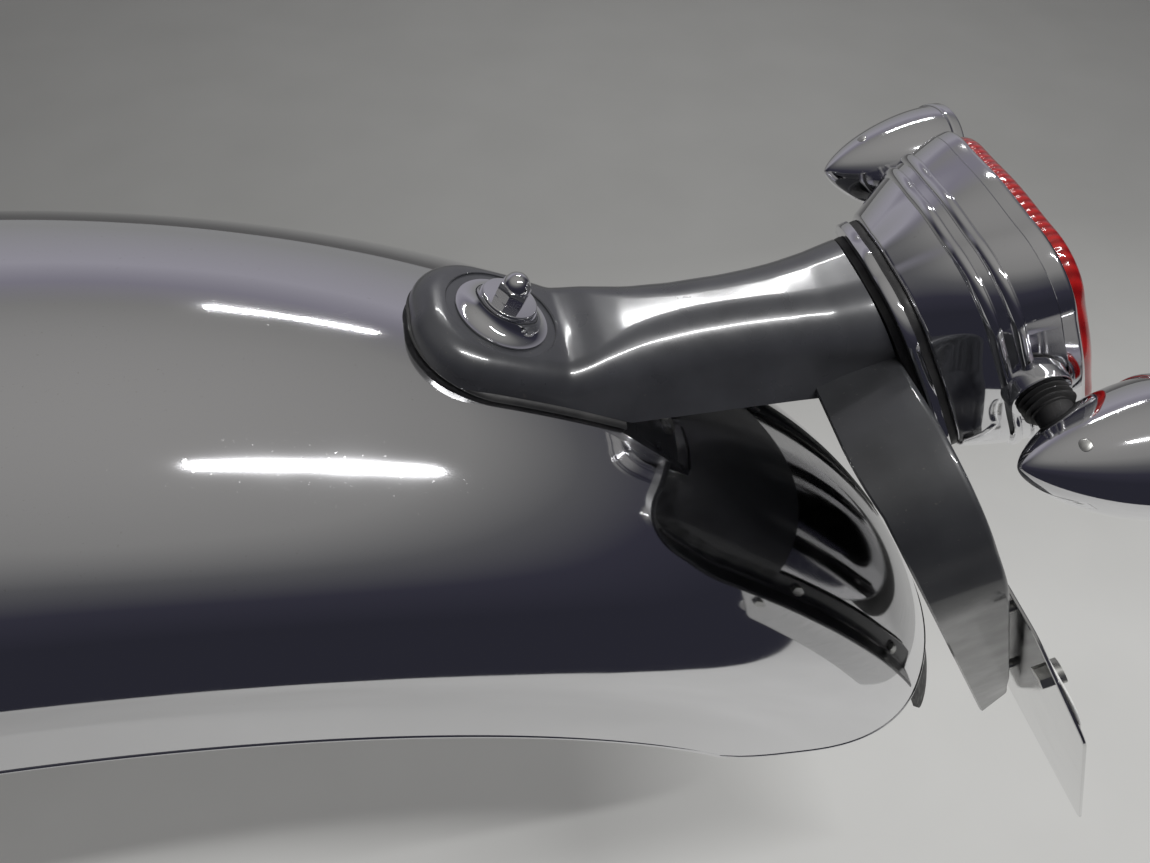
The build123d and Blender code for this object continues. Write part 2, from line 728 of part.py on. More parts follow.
# Yoke that carries the number plate: a pan behind the arm with two L-shaped legs
with BuildPart() as plate_yoke:
    extrude(yoke_outline(yoke_face), amount=-yoke_depth)
    extrude(yoke_outline(yoke_face - yoke_wall, yoke_wall), amount=-yoke_depth, mode=Mode.SUBTRACT)
    extrude(yoke_outline(yoke_face, yoke_wall + yoke_flange, yoke_web_bottom), amount=-yoke_wall, mode=Mode.SUBTRACT)
    with BuildSketch(Plane.XZ):
        with BuildLine():
            Polyline(
                rear_point(yoke_face, yoke_top + yoke_wall),
                rear_point(yoke_face, yoke_tip),
                rear_point(-yoke_tip_depth, yoke_tip_front),
                rear_point(-yoke_mid_depth, yoke_mid),
                rear_point(-yoke_shoulder_depth, yoke_shoulder_mid[1]),
                rear_point(-yoke_depth, yoke_top + yoke_wall),
                close=True,
            )
        make_face()
    extrude(amount=2 * yoke_half_width, both=True, mode=Mode.INTERSECT)
    add(arm_body(), mode=Mode.SUBTRACT)
    for w in leg_bolts:
        for side in (-1, 1):
            with BuildSketch(rear_plane(yoke_face)):
                with Locations((side * leg_bolt_y(w), w)):
                    Circle(pad_radius)
            extrude(amount=-yoke_face)
            with BuildSketch(rear_plane(yoke_face - yoke_wall)):
                with Locations((side * leg_bolt_y(w), w)):
                    Circle(bolt_radius + clearance)
            extrude(amount=yoke_wall - yoke_face, mode=Mode.SUBTRACT)
finish(plate_yoke.part, "plate_yoke")

# Tail lamp: gasket, chrome band, seal, ribbed housing, bezel and lens
with BuildPart() as lamp_gasket:
    extrude(lamp_outline(yoke_face, lamp_foot), amount=-yoke_face)
    extrude(cable_circle(yoke_face), amount=through, mode=Mode.SUBTRACT)
finish(lamp_gasket.part, "lamp_gasket")

with BuildPart() as lamp_base:
    extrude(lamp_outline(0, lamp_foot), amount=foot_band)
    extrude(cable_circle(0), amount=through, mode=Mode.SUBTRACT)
finish(lamp_base.part, "lamp_foot")

with BuildPart() as base_seal:
    extrude(lamp_outline(foot_band, lamp_foot, -seal_inset), amount=foot_seal)
    extrude(cable_circle(foot_band), amount=through, mode=Mode.SUBTRACT)
finish(base_seal.part, "foot_seal")

housing_start = foot_band + foot_seal
housing_end = housing_start + housing_depth
with BuildPart() as lamp_housing:
    loft([housing_section(0), housing_section(housing_depth)])
    for reach in housing_ribs:
        extrude(housing_section(reach, housing_rib_height), amount=housing_rib_width)
    for side in (-1, 1):
        extrude(signal_circle(side, stem_start, boss_radius), amount=-boss_depth)
    loft([housing_section(housing_wall, -housing_wall), housing_section(housing_depth, -housing_wall)],
         mode=Mode.SUBTRACT)
    extrude(cable_circle(housing_start), amount=housing_wall, mode=Mode.SUBTRACT)
finish(lamp_housing.part, "lamp_housing")

with BuildPart() as lamp_bezel:
    extrude(lamp_outline(housing_end, lamp_rim), amount=bezel_depth)
    fillet(lamp_bezel.faces().sort_by(rear_axis)[-1].edges(), bezel_rounding)
    extrude(lamp_outline(housing_end, lamp_rim, -lens_inset), amount=bezel_depth, mode=Mode.SUBTRACT)
finish(lamp_bezel.part, "lamp_bezel")

with BuildPart() as lamp_lens:
    extrude(lamp_outline(housing_end + lens_start, lamp_rim, -lens_inset - clearance), amount=lens_depth)
    fillet(lamp_lens.faces().sort_by(rear_axis)[-1].edges(), lens_edge)
finish(lamp_lens.part, "lamp_lens")

# Direction indicators beside the lamp, on short ribbed stems
bowl_rear = bowl_length - bowl_front
stem_end = stem_start + stem_length
for side, name in ((-1, "left"), (1, "right")):
    with BuildPart() as indicator_stem:
        extrude(signal_circle(side, stem_start, stem_radius), amount=stem_length)
        for rib in range(stem_ribs):
            gap = (stem_length - stem_ribs * stem_rib_width) / (stem_ribs + 1)
            reach = stem_start + gap + rib * (gap + stem_rib_width)
            extrude(signal_circle(side, reach, stem_rib_radius), amount=stem_rib_width)
    finish(indicator_stem.part, "indicator_stem_" + name)

    signal_line = Axis((signal_x, side * indicator_half_spacing, signal_z), (1, 0, 0))
    with BuildPart() as indicator_bowl:
        revolve(bullet(side, 0), axis=signal_line)
        extrude(signal_circle(side, stem_end, stem_radius), amount=indicator_half_spacing - stem_end)
        revolve(bullet(side, bowl_wall), axis=signal_line, mode=Mode.SUBTRACT)
    finish(indicator_bowl.part, "indicator_bowl_" + name)

    with BuildPart() as indicator_rim:
        with BuildSketch(signal_side(side)) as ring:
            with Locations((bowl_rear, (rim_opening + rim_radius) / 2)):
                Rectangle(rim_width, rim_radius - rim_opening, align=(Align.MIN, Align.CENTER))
            fillet(ring.vertices().group_by(Axis.Y)[-1], rim_rounding)
        revolve(axis=signal_line)
    finish(indicator_rim.part, "indicator_rim_" + name)

    with BuildPart() as indicator_lens:
        glass = rim_opening - clearance
        with BuildSketch(signal_side(side)):
            with BuildLine():
                Polyline((bowl_rear + rim_width, glass), (bowl_rear, glass), (bowl_rear, 0),
                         (bowl_rear + rim_width + signal_dome, 0))
                Spline((bowl_rear + rim_width + signal_dome, 0), (bowl_rear + rim_width, glass),
                       tangents=((0, 1), (-1, 0.4)))
            make_face()
        revolve(axis=signal_line)
    finish(indicator_lens.part, "indicator_lens_" + name)

# Polished panel, blank number plate and their bolts
with BuildPart() as plate_panel:
    with BuildSketch(rear_plane(0)):
        with Locations((0, (panel_top + panel_bottom) / 2)):
            RectangleRounded(2 * panel_half_width, panel_top - panel_bottom, panel_corner)
        with Locations(*plate_bolt_places):
            Circle(bolt_radius + clearance, mode=Mode.SUBTRACT)
    extrude(amount=panel_thickness)
    for place in panel_bolt_places:
        add(sunk_bolt(place, clearance), mode=Mode.SUBTRACT)
finish(plate_panel.part, "plate_panel")

with BuildPart() as number_plate:
    with BuildSketch(rear_plane(panel_thickness)):
        with Locations((0, panel_top - plate_drop - plate_height / 2)):
            RectangleRounded(plate_width, plate_height, plate_corner)
        with Locations(*plate_bolt_places):
            Circle(bolt_radius + clearance, mode=Mode.SUBTRACT)
    extrude(amount=plate_thickness)
finish(number_plate.part, "number_plate")

for number, place in enumerate(panel_bolt_places, start=1):
    with BuildPart() as panel_bolt:
        add(sunk_bolt(place, 0))
        with BuildSketch(rear_plane(yoke_face - yoke_wall)):
            with Locations(place):
                RegularPolygon(small_nut / 2, 6, major_radius=False)
        extrude(amount=-small_nut_height)
    finish(panel_bolt.part, "panel_bolt_" + str(number))

for number, place in enumerate(plate_bolt_places, start=1):
    with BuildPart() as plate_bolt:
        plate_face = panel_thickness + plate_thickness
        for s, radius, reach in ((plate_face, plate_head_radius, plate_head_height),
                                 (-small_nut_height, bolt_radius, small_nut_height + plate_face)):
            with BuildSketch(rear_plane(s)):
                with Locations(place):
                    Circle(radius)
            extrude(amount=reach)
        with BuildSketch(rear_plane(0)):
            with Locations(place):
                RegularPolygon(small_nut / 2, 6, major_radius=False)
        extrude(amount=-small_nut_height)
    finish(plate_bolt.part, "plate_bolt_" + str(number))

# Rubber flap that carries the mudguard's line on past its tail
with BuildPart() as tail_flap:
    top = -sheet - clearance
    add(crown_layer(top, top - flap_thickness, flap_start_angle, flap_end_angle))
    with BuildSketch(normal_plane((flap_start_angle + flap_end_angle) / 2)) as plan:
        chord = 2 * (crown_radius + top) * sin(radians((flap_end_angle - flap_start_angle) / 2))
        Rectangle(chord, 2 * flap_half_width)
        fillet(plan.vertices().sort_by(Axis.X)[-2:], flap_corner)
    extrude(amount=2 * flap_half_width, both=True, mode=Mode.INTERSECT)
finish(tail_flap.part, "tail_flap")
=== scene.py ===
import math
import bmesh
import bpy
import numpy as np
from mathutils import Matrix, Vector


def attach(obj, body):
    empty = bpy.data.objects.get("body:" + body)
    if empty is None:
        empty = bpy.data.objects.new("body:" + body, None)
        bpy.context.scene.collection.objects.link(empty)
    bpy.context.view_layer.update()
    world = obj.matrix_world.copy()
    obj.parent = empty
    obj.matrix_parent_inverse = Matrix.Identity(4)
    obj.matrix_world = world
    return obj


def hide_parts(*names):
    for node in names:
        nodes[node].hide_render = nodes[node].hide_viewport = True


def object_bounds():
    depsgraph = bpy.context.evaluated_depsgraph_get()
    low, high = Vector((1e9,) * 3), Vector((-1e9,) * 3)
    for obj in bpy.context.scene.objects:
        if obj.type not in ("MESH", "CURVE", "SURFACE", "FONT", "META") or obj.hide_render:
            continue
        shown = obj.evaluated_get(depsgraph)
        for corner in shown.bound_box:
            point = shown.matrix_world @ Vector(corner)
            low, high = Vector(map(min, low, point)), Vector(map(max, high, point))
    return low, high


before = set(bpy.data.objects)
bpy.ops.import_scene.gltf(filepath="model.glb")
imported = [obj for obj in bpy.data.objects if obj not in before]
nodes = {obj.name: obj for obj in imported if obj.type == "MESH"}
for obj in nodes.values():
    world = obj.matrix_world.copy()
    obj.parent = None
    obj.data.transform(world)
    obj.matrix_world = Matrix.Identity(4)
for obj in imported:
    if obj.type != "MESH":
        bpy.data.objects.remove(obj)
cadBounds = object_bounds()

# Chrome rear mudguard with its black carrier arm, tail lamp and number plate.
# Sizes are in millimetres, and mm turns them into Blender's metres.
mm = 0.001
weldDistance = 2e-6
scene = bpy.context.scene
scene.view_settings.view_transform = "Standard"
turnRight = math.pi / 2

# Rear plane of the lamp and the plate: s runs behind it and w up it
rear = {"x": 346.96, "z": -24.99, "tilt": math.radians(28.5)}
cosTilt, sinTilt = math.cos(rear["tilt"]), math.sin(rear["tilt"])

# Stud that holds the arm on the crown; its foot is the pocket's floor
stud = {"x": 212.75, "z": -45.99, "lean": math.radians(24.4), "floor": 10.9}
studAxis = np.array([math.sin(stud["lean"]), 0, math.cos(stud["lean"])])
studFoot = np.array([stud["x"], 0, stud["z"]]) + stud["floor"] * studAxis


# x = x0 + s cos(tilt) - w sin(tilt), y = u, z = z0 + s sin(tilt) + w cos(tilt)
def rearPoint(s, u, w):
    s, u, w = np.broadcast_arrays(s, u, w)
    return np.stack((rear["x"] + s * cosTilt - w * sinTilt, u, rear["z"] + s * sinTilt + w * cosTilt), -1)


# Quads between neighbouring rows and columns of a grid, round the loop where it closes
def gridFaces(rows, columns, loopRows, loopColumns, first):
    r = np.arange(rows if loopRows else rows - 1)[:, None]
    c = np.arange(columns if loopColumns else columns - 1)[None, :]
    nextRow, nextColumn = (r + 1) % rows, (c + 1) % columns
    corners = (r * columns + c, r * columns + nextColumn,
               nextRow * columns + nextColumn, nextRow * columns + c)
    return np.stack(np.broadcast_arrays(*corners), -1).reshape(-1, 4) + first


# New object in the scene
def addObject(name, data):
    made = bpy.data.objects.new(name, data)
    scene.collection.objects.link(made)
    return made


# Smooth shading, sharp at edges that turn by more than an angle in degrees
def markSharp(piece, angle):
    piece.data.shade_smooth()
    piece.data.set_sharp_from_angle(angle=math.radians(angle))


# Joins grids (points in mm, loopRows, loopColumns, finish number) into one closed mesh
def makePiece(name, sheets, finishes, sharp=32):
    points, faces, numbers, first = [], [], [], 0
    for grid, loopRows, loopColumns, number in sheets:
        grid = np.asarray(grid, float)
        rows, columns = grid.shape[:2]
        quads = gridFaces(rows, columns, loopRows, loopColumns, first)
        points.append(grid.reshape(-1, 3) * mm)
        faces.append(quads)
        numbers.append(np.full(len(quads), number))
        first += rows * columns
    mesh = bpy.data.meshes.new(name)
    mesh.from_pydata(np.concatenate(points).tolist(), [], np.concatenate(faces).tolist())
    for finish in finishes:
        mesh.materials.append(finish)
    mesh.polygons.foreach_set("material_index", np.concatenate(numbers).astype(np.int32))
    work = bmesh.new()
    work.from_mesh(mesh)
    bmesh.ops.remove_doubles(work, verts=work.verts, dist=weldDistance)
    bmesh.ops.recalc_face_normals(work, faces=work.faces)
    work.to_mesh(mesh)
    work.free()
    piece = addObject(name, mesh)
    markSharp(piece, sharp)
    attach(piece, "root")
    return piece


# Piece of one finish; node is None where it replaces nothing
def addPiece(name, sheets, finish, node, sharp=32):
    piece = makePiece(name, sheets, [finish], sharp)
    if node:
        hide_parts(node)
    return piece


# Piece whose rows are closed rings, from pole to pole or round a loop
def addRings(name, grid, finish, node, sharp=32, loop=False):
    addPiece(name, [(grid, loop, True, 0)], finish, node, sharp)


# Takes closed shapes out of a piece, each a grid whose rows are rings
def cutHoles(piece, grids, sharp=32):
    sheets = [(grid, False, True, 0) for grid in grids]
    cutter = makePiece(piece.name + "_cutter", sheets, [piece.data.materials[0]])
    cut = piece.modifiers.new("holes", "BOOLEAN")
    cut.object = cutter
    cut.solver = "EXACT"
    bpy.context.view_layer.objects.active = piece
    bpy.ops.object.modifier_apply(modifier=cut.name)
    bpy.data.objects.remove(cutter)
    markSharp(piece, sharp)


# Row of the ring's middle, so that a ring closes to a pole
def closeRing(ring):
    return np.repeat(ring.mean(0)[None], len(ring), 0)


# Angles of a full turn in equal steps
def fullTurn(count):
    return np.arange(count) * 2 * math.pi / count


# Points origin + axis h + r (side cos t + other sin t), where other is axis x side
def lathe(origin, axis, side, radii, heights, segments=96):
    t = fullTurn(segments)[:, None]
    circle = np.cos(t) * side + np.sin(t) * np.cross(axis, side)
    radii, heights = np.asarray(radii, float), np.asarray(heights, float)
    if radii.ndim == 1:
        radii = radii[:, None]
    return origin + heights[:, None, None] * axis + radii[:, :, None] * circle


# Closed cylinder for a hole
def cylinder(start, axis, side, radius, length):
    return lathe(start, axis, side, [0, radius, radius, 0], [0, 0, length, length], 48)


# 3 t t - 2 t t t of the share t between low and high
def smoothStep(value, low, high):
    t = np.clip((np.asarray(value, float) - low) / (high - low), 0, 1)
    return t * t * (3 - 2 * t)


# Each value becomes the average of a window round it, weighted by a raised cosine
def smoothed(values, window, **padding):
    kernel = np.hanning(window)
    padded = np.pad(values, window, **(padding or {"mode": "edge"}))
    return np.convolve(padded, kernel / kernel.sum(), "same")[window:-window]


# Profile polyline with each inner corner turned by a short arc of a quadratic curve
def rounded(profile, radius, steps=6):
    profile = np.asarray(profile, float)
    result = [profile[:1]]
    for before, corner, after in zip(profile[:-2], profile[1:-1], profile[2:]):
        reach = [np.linalg.norm(other - corner) for other in (before, after)]
        start, end = (corner + (other - corner) * min(radius, long * 0.45) / long
                      for other, long in zip((before, after), reach))
        t = np.linspace(0, 1, steps)[:, None]
        result.append((1 - t) ** 2 * start + 2 * t * (1 - t) * corner + t ** 2 * end)
    result.append(profile[-1:])
    return np.concatenate(result)


# Gives a ramp its stops: (position, grey or colour)
def fillRamp(ramp, stops):
    elements = ramp.color_ramp.elements
    while len(elements) < len(stops):
        elements.new(0.5)
    for element, (position, value) in zip(elements, stops):
        element.position = position
        element.color = (value, value, value, 1) if np.isscalar(value) else (*value, 1)


# A node material with a Principled shader, read from Object coordinates
class Finish:
    def __init__(self, name, colour, metallic=0.0, roughness=0.5, **sockets):
        self.material = bpy.data.materials.new(name)
        self.material.use_nodes = True
        self.tree = self.material.node_tree
        self.shader = self.tree.nodes["Principled BSDF"]
        sockets.update(Base_Color=(*colour, 1), Metallic=metallic, Roughness=roughness)
        for socket, value in sockets.items():
            self.shader.inputs[socket.replace("_", " ")].default_value = value
        self.place = self.tree.nodes.new("ShaderNodeTexCoord").outputs["Object"]

    def node(self, kind, **values):
        made = self.tree.nodes.new(kind)
        for key, value in values.items():
            if key in made.inputs.keys():
                made.inputs[key].default_value = value
            else:
                setattr(made, key, value)
        return made

    def link(self, source, target):
        self.tree.links.new(source, target)

    # Drives a socket of the shader
    def drive(self, socket, source):
        self.link(source, self.shader.inputs[socket])

    def noise(self, scale, detail=4.0, stretch=(1, 1, 1)):
        mapping = self.node("ShaderNodeMapping", Scale=stretch)
        self.link(self.place, mapping.inputs["Vector"])
        noise = self.node("ShaderNodeTexNoise", Scale=scale, Detail=detail)
        self.link(mapping.outputs["Vector"], noise.inputs["Vector"])
        return noise.outputs["Fac"]

    def ramp(self, source, stops):
        ramp = self.node("ShaderNodeValToRGB")
        fillRamp(ramp, stops)
        self.link(source, ramp.inputs["Fac"])
        return ramp.outputs["Color"]

    def mix(self, kind, factor, one, two):
        mix = self.node("ShaderNodeMix", data_type="RGBA", blend_type=kind)
        for socket, value in ((mix.inputs["Factor"], factor), (mix.inputs[6], one), (mix.inputs[7], two)):
            if hasattr(value, "links"):
                self.link(value, socket)
            else:
                socket.default_value = value if np.isscalar(value) else (*value, 1)
        return mix.outputs[2]

    def bump(self, source, strength, distance, onto=None):
        bump = self.node("ShaderNodeBump", Strength=strength, Distance=distance)
        self.link(source, bump.inputs["Height"])
        if onto is not None:
            self.link(onto, bump.inputs["Normal"])
        self.drive("Normal", bump.outputs["Normal"])
        return bump.outputs["Normal"]


# Bright plating: faint long waves, fine dust and tiny pits
def makeChrome():
    bright = (0.78, 0.78, 0.80)
    chrome = Finish("chrome", bright, 1.0, 0.04)
    dust = chrome.ramp(chrome.noise(900, 3), [(0.0, 0.0), (0.68, 0.0), (0.78, 0.6)])
    haze = chrome.ramp(chrome.noise(14, 3), [(0.3, 0.035), (0.75, 0.075)])
    chrome.drive("Base Color", chrome.mix("MIX", dust, bright, (0.62, 0.61, 0.60)))
    chrome.drive("Roughness", chrome.mix("ADD", dust, haze, (0.16, 0.16, 0.16)))
    waves = chrome.bump(chrome.noise(22, 1), 0.10, 0.001)
    chrome.bump(dust, 0.02, 0.0001, waves)
    return chrome.material


# Black enamel: slight orange peel, uneven gloss and dust
def makePaint(name, colour, roughness):
    paint = Finish(name, colour, 0.0, roughness, Coat_Weight=0.6, Coat_Roughness=0.09)
    dust = paint.ramp(paint.noise(700, 3), [(0.0, 0.0), (0.68, 0.0), (0.76, 1.0)])
    tone = paint.ramp(paint.noise(35, 4), [(0.3, tuple(0.8 * c for c in colour)),
                                           (0.7, tuple(1.35 * c for c in colour))])
    paint.drive("Base Color", paint.mix("MIX", dust, tone, (0.07, 0.068, 0.064)))
    gloss = [(0.3, roughness - 0.05), (0.7, roughness + 0.07)]
    paint.drive("Roughness", paint.ramp(paint.noise(60, 4), gloss))
    paint.bump(paint.noise(420, 2), 0.05, 0.0004)
    return paint.material


# Mottled finish: tone and roughness run up ramps of noise, and a finer noise gives the grain. Each entry
# holds a noise's scale and detail, then the ramp's stops or the bump's strength and distance
def makeMottled(name, colour, metallic, roughness, tone, rough, grain, **sockets):
    finish = Finish(name, colour, metallic, roughness, **sockets)
    for socket, entry in (("Base Color", tone), ("Roughness", rough)):
        if entry:
            finish.drive(socket, finish.ramp(finish.noise(*entry[:2]), entry[2]))
    finish.bump(finish.noise(*grain[:2]), *grain[2:])
    return finish.material


# Polished stainless sheet: fine lines along its width and soft smears
def makePolished():
    sheet = Finish("polishedSheet", (0.66, 0.66, 0.66), 1.0, 0.1)
    lines = sheet.noise(260, 2, (6, 0.15, 6))
    sheet.drive("Roughness", sheet.ramp(sheet.noise(24, 4), [(0.35, 0.05), (0.75, 0.16)]))
    sheet.drive("Base Color", sheet.ramp(lines, [(0.3, 0.60), (0.7, 0.71)]))
    sheet.bump(lines, 0.03, 0.0001)
    return sheet.material


# Coloured lens plastic: fine ribs under a glossy face
def makeLens(name, colour, deep):
    lens = Finish(name, colour, 0.0, 0.14, Coat_Weight=1.0, Coat_Roughness=0.04,
                  Transmission_Weight=0.25, IOR=1.49)
    wave = lens.node("ShaderNodeTexWave", wave_type="BANDS", bands_direction="Y", Scale=95.0, Distortion=0.0)
    lens.link(lens.place, wave.inputs["Vector"])
    lens.drive("Base Color", lens.ramp(wave.outputs["Fac"], [(0.0, deep), (1.0, colour)]))
    lens.bump(wave.outputs["Fac"], 0.35, 0.0006)
    return lens.material


chrome = makeChrome()
armPaint = makePaint("armPaint", (0.042, 0.043, 0.048), 0.30)
yokePaint = makePaint("yokePaint", (0.030, 0.031, 0.034), 0.42)
# Matt black rubber, cloudy zinc-plated steel, the mudguard's grimy inside and white plate paint
rubber = makeMottled("blackRubber", (0.018, 0.018, 0.019), 0.0, 0.55,
                     (90, 5, [(0.3, (0.012, 0.012, 0.013)), (0.7, (0.035, 0.034, 0.034))]),
                     (240, 4, [(0.3, 0.42), (0.7, 0.66)]), (1600, 3, 0.25, 0.0002))
zinc = makeMottled("zincSteel", (0.55, 0.55, 0.53), 1.0, 0.32,
                   (160, 5, [(0.3, (0.42, 0.42, 0.40)), (0.7, (0.66, 0.66, 0.64))]),
                   (300, 4, [(0.3, 0.24), (0.7, 0.44)]), (900, 3, 0.1, 0.0002))
polished = makePolished()
guardInside = makeMottled("guardInside", (0.10, 0.10, 0.10), 0.0, 0.6,
                          (30, 6, [(0.35, (0.11, 0.11, 0.115)), (0.55, (0.075, 0.07, 0.065)),
                                   (0.75, (0.045, 0.038, 0.03))]),
                          (80, 4, [(0.3, 0.45), (0.7, 0.8)]), (500, 4, 0.3, 0.0004))
redLens = makeLens("redLens", (0.50, 0.012, 0.010), (0.28, 0.004, 0.004))
amberLens = makeLens("amberLens", (0.75, 0.20, 0.01), (0.50, 0.09, 0.004))
plateWhite = makeMottled("plateWhite", (0.78, 0.78, 0.76), 0.0, 0.35,
                         (40, 5, [(0.3, (0.74, 0.74, 0.72)), (0.7, (0.80, 0.80, 0.78))]), None,
                         (700, 2, 0.05, 0.0002), Coat_Weight=0.4, Coat_Roughness=0.12)
print("finishes made")

# Mudguard: radii of its side view and of its cross section, with their angles in degrees
guard = {"crownRadius": 515, "wrapRadius": 345, "wrapStart": -8, "wrapEnd": -60, "wrapSoften": 60,
         "runFrom": -480, "runTo": 640, "runStep": 0.5,
         "crossRadius": 120.6, "crossAngle": 40, "shoulderRadius": 66, "soften": 26, "crossStep": 0.2,
         "halfWidth": 101.1, "skirtDepth": 106.4, "skirtRun": 60, "sheet": 1.6, "crownHalf": 77,
         "tailSlope": 14.7, "tailRounding": 95, "cutRadius": 407.3, "tailAngle": 48.5, "spreadFrom": 180,
         "rows": 250, "columns": 96, "lip": 1.3,
         "frameBolts": 25, "boltHole": 4.25, "studHole": 3.5, "sideBolt": (-150.159, -127.55),
         "crownCut": 20, "sideCut": 120}
crown, cross = guard["crownRadius"], guard["crossRadius"]


# Side view of the crown: its turn is the integral of the curvature 1/515, then 1/345
def crownLine():
    step = guard["runStep"]
    run = np.arange(guard["runFrom"], guard["runTo"], step)
    change = crown * math.radians(guard["wrapStart"])
    curvature = np.where(run > change, 1 / crown, 1 / guard["wrapRadius"])
    curvature = smoothed(curvature, int(guard["wrapSoften"] / step) | 1)
    start = np.searchsorted(run, 0)
    turn = np.cumsum(curvature) * step
    turn -= turn[start]
    x = np.cumsum(np.cos(turn)) * step
    z = -np.cumsum(np.sin(turn)) * step
    return run, x - x[start], z - z[start], turn


# Half section: its turn is the integral of 1/120.6, 1/66 and 0, then it is fitted to the width
def crossLine():
    step = guard["crossStep"]
    crownRun = cross * math.radians(guard["crossAngle"])
    shoulderRun = guard["shoulderRadius"] * math.radians(90 - guard["crossAngle"])
    run = np.arange(0, crownRun + shoulderRun + guard["skirtRun"], step)
    curvature = np.where(run < crownRun, 1 / cross,
                         np.where(run < crownRun + shoulderRun, 1 / guard["shoulderRadius"], 0))
    turn = np.cumsum(smoothed(curvature, int(guard["soften"] / step) | 1)) * step
    y = np.cumsum(np.cos(turn)) * step
    drop = np.cumsum(np.sin(turn)) * step
    y *= guard["halfWidth"] / y.max()
    keep = drop <= guard["skirtDepth"]
    return run[keep], y[keep], drop[keep], turn[keep]


runTable, crownX, crownZ, crownTurn = crownLine()
crossRun, crossY, crossDrop, crossTurn = crossLine()


# Angle where a line at this radius meets the tail's edge: a straight slope with a round corner
def tailTurn(radius):
    slope = math.radians(guard["tailSlope"])
    reach = guard["cutRadius"] * math.cos(math.radians(guard["tailAngle"]) - slope)
    centre = guard["cutRadius"] + guard["tailRounding"]
    centreTurn = slope + math.acos((reach + guard["tailRounding"]) / centre)
    straight = slope + np.arccos(reach / radius)
    share = (radius ** 2 + centre ** 2 - guard["tailRounding"] ** 2) / (2 * radius * centre)
    corner = centreTurn + np.arccos(np.clip(share, -1, 1))
    touch = math.hypot(reach, centre * math.sin(centreTurn - slope))
    return np.where(radius < touch, corner, straight)


# Point = crown line + drop along its normal + y, each column ending at the tail's edge
def guardSurface(sink):
    run = np.linspace(0, crossRun[-1], guard["columns"] // 2 + 1)
    y, drop, turn = (np.interp(run, crossRun, table) for table in (crossY, crossDrop, crossTurn))
    y, drop = y - sink * np.sin(turn), drop + sink * np.cos(turn)
    y = np.concatenate((-y[:0:-1], y))
    drop = np.concatenate((drop[:0:-1], drop))
    front = np.interp(math.radians(guard["wrapEnd"]), crownTurn, runTable)
    end = crown * tailTurn(crown - drop)
    spread = guard["spreadFrom"]
    share = np.linspace(0, 1, guard["rows"])[:, None]
    even = front + (end.mean() - front) * share
    stretch = np.where(even < spread, even, spread + (even - spread) * (end - spread) / (end.mean() - spread))
    x, z, lean = (np.interp(stretch, runTable, table) for table in (crownX, crownZ, crownTurn))
    return np.stack((x - drop * np.sin(lean), np.broadcast_to(y, x.shape), z - drop * np.cos(lean)), -1)


# Drop of the crown's cross section at y: r - sqrt(r r - y y)
def crownDrop(y):
    return cross - np.sqrt(cross ** 2 - np.clip(y, -guard["crownHalf"], guard["crownHalf"]) ** 2)


# Height of the crown's surface moved outwards by lift: sqrt(r r - x x) less the crown's radius
def crownHeight(x, y, lift):
    radius = crown + lift - crownDrop(y)
    return np.sqrt(radius ** 2 - x ** 2) - crown


# Circle of a radius carried round a closed path, square to it; the path never runs along up
def tubeAlong(path, radius):
    up = np.array([0.31, 0.05, 0.95])
    ahead = np.roll(path, -1, 0) - np.roll(path, 1, 0)
    ahead /= np.linalg.norm(ahead, axis=1)[:, None]
    across = np.cross(ahead, up)
    across /= np.linalg.norm(across, axis=1)[:, None]
    upward = np.cross(across, ahead)
    t = fullTurn(12)[:, None]
    circle = np.cos(t) * across[:, None] + np.sin(t) * upward[:, None]
    return path[:, None] + radius * circle


# Two sheets joined by strips along their four borders; number is the inner one's finish
def closedLayer(outer, inner, number=0):
    strips = [np.stack((outer[:, end], inner[:, end]), 1) for end in (0, -1)]
    strips += [np.stack((outer[end], inner[end])) for end in (0, -1)]
    return [(outer, False, False, 0), (inner, False, False, number)] + [(s, False, False, 0) for s in strips]


# Sheet with its bolt holes, and the lip as a tube round the middle of its border
def makeGuard():
    outer, inner = guardSurface(0), guardSurface(guard["sheet"])
    piece = makePiece("mudguard_shell", closedLayer(outer, inner, 1), [chrome, guardInside])
    hole, deep, wide = guard["boltHole"], guard["crownCut"], guard["sideCut"]
    cuts = [cylinder((x, 0, -deep), (0, 0, 1), (1, 0, 0), hole, 2 * deep)
            for x in (-guard["frameBolts"], guard["frameBolts"])]
    x, z = guard["sideBolt"]
    cuts.append(cylinder((x, -wide, z), (0, 1, 0), (0, 0, 1), hole, 2 * wide))
    start = (crown - deep) * studAxis - (0, 0, crown)
    cuts.append(cylinder(start, studAxis, (0, 1, 0), guard["studHole"], 2 * deep))
    cutHoles(piece, cuts)
    middle = (outer + inner) / 2
    border = np.concatenate((middle[:-1, 0], middle[-1, :-1], middle[:0:-1, -1], middle[0, :0:-1]))
    lip = makePiece("rolled_lip", [(tubeAlong(border, guard["lip"]), True, True, 0)], [chrome], 60)
    for made in (piece, lip):
        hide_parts("mudguard")


makeGuard()
print("mudguard made")

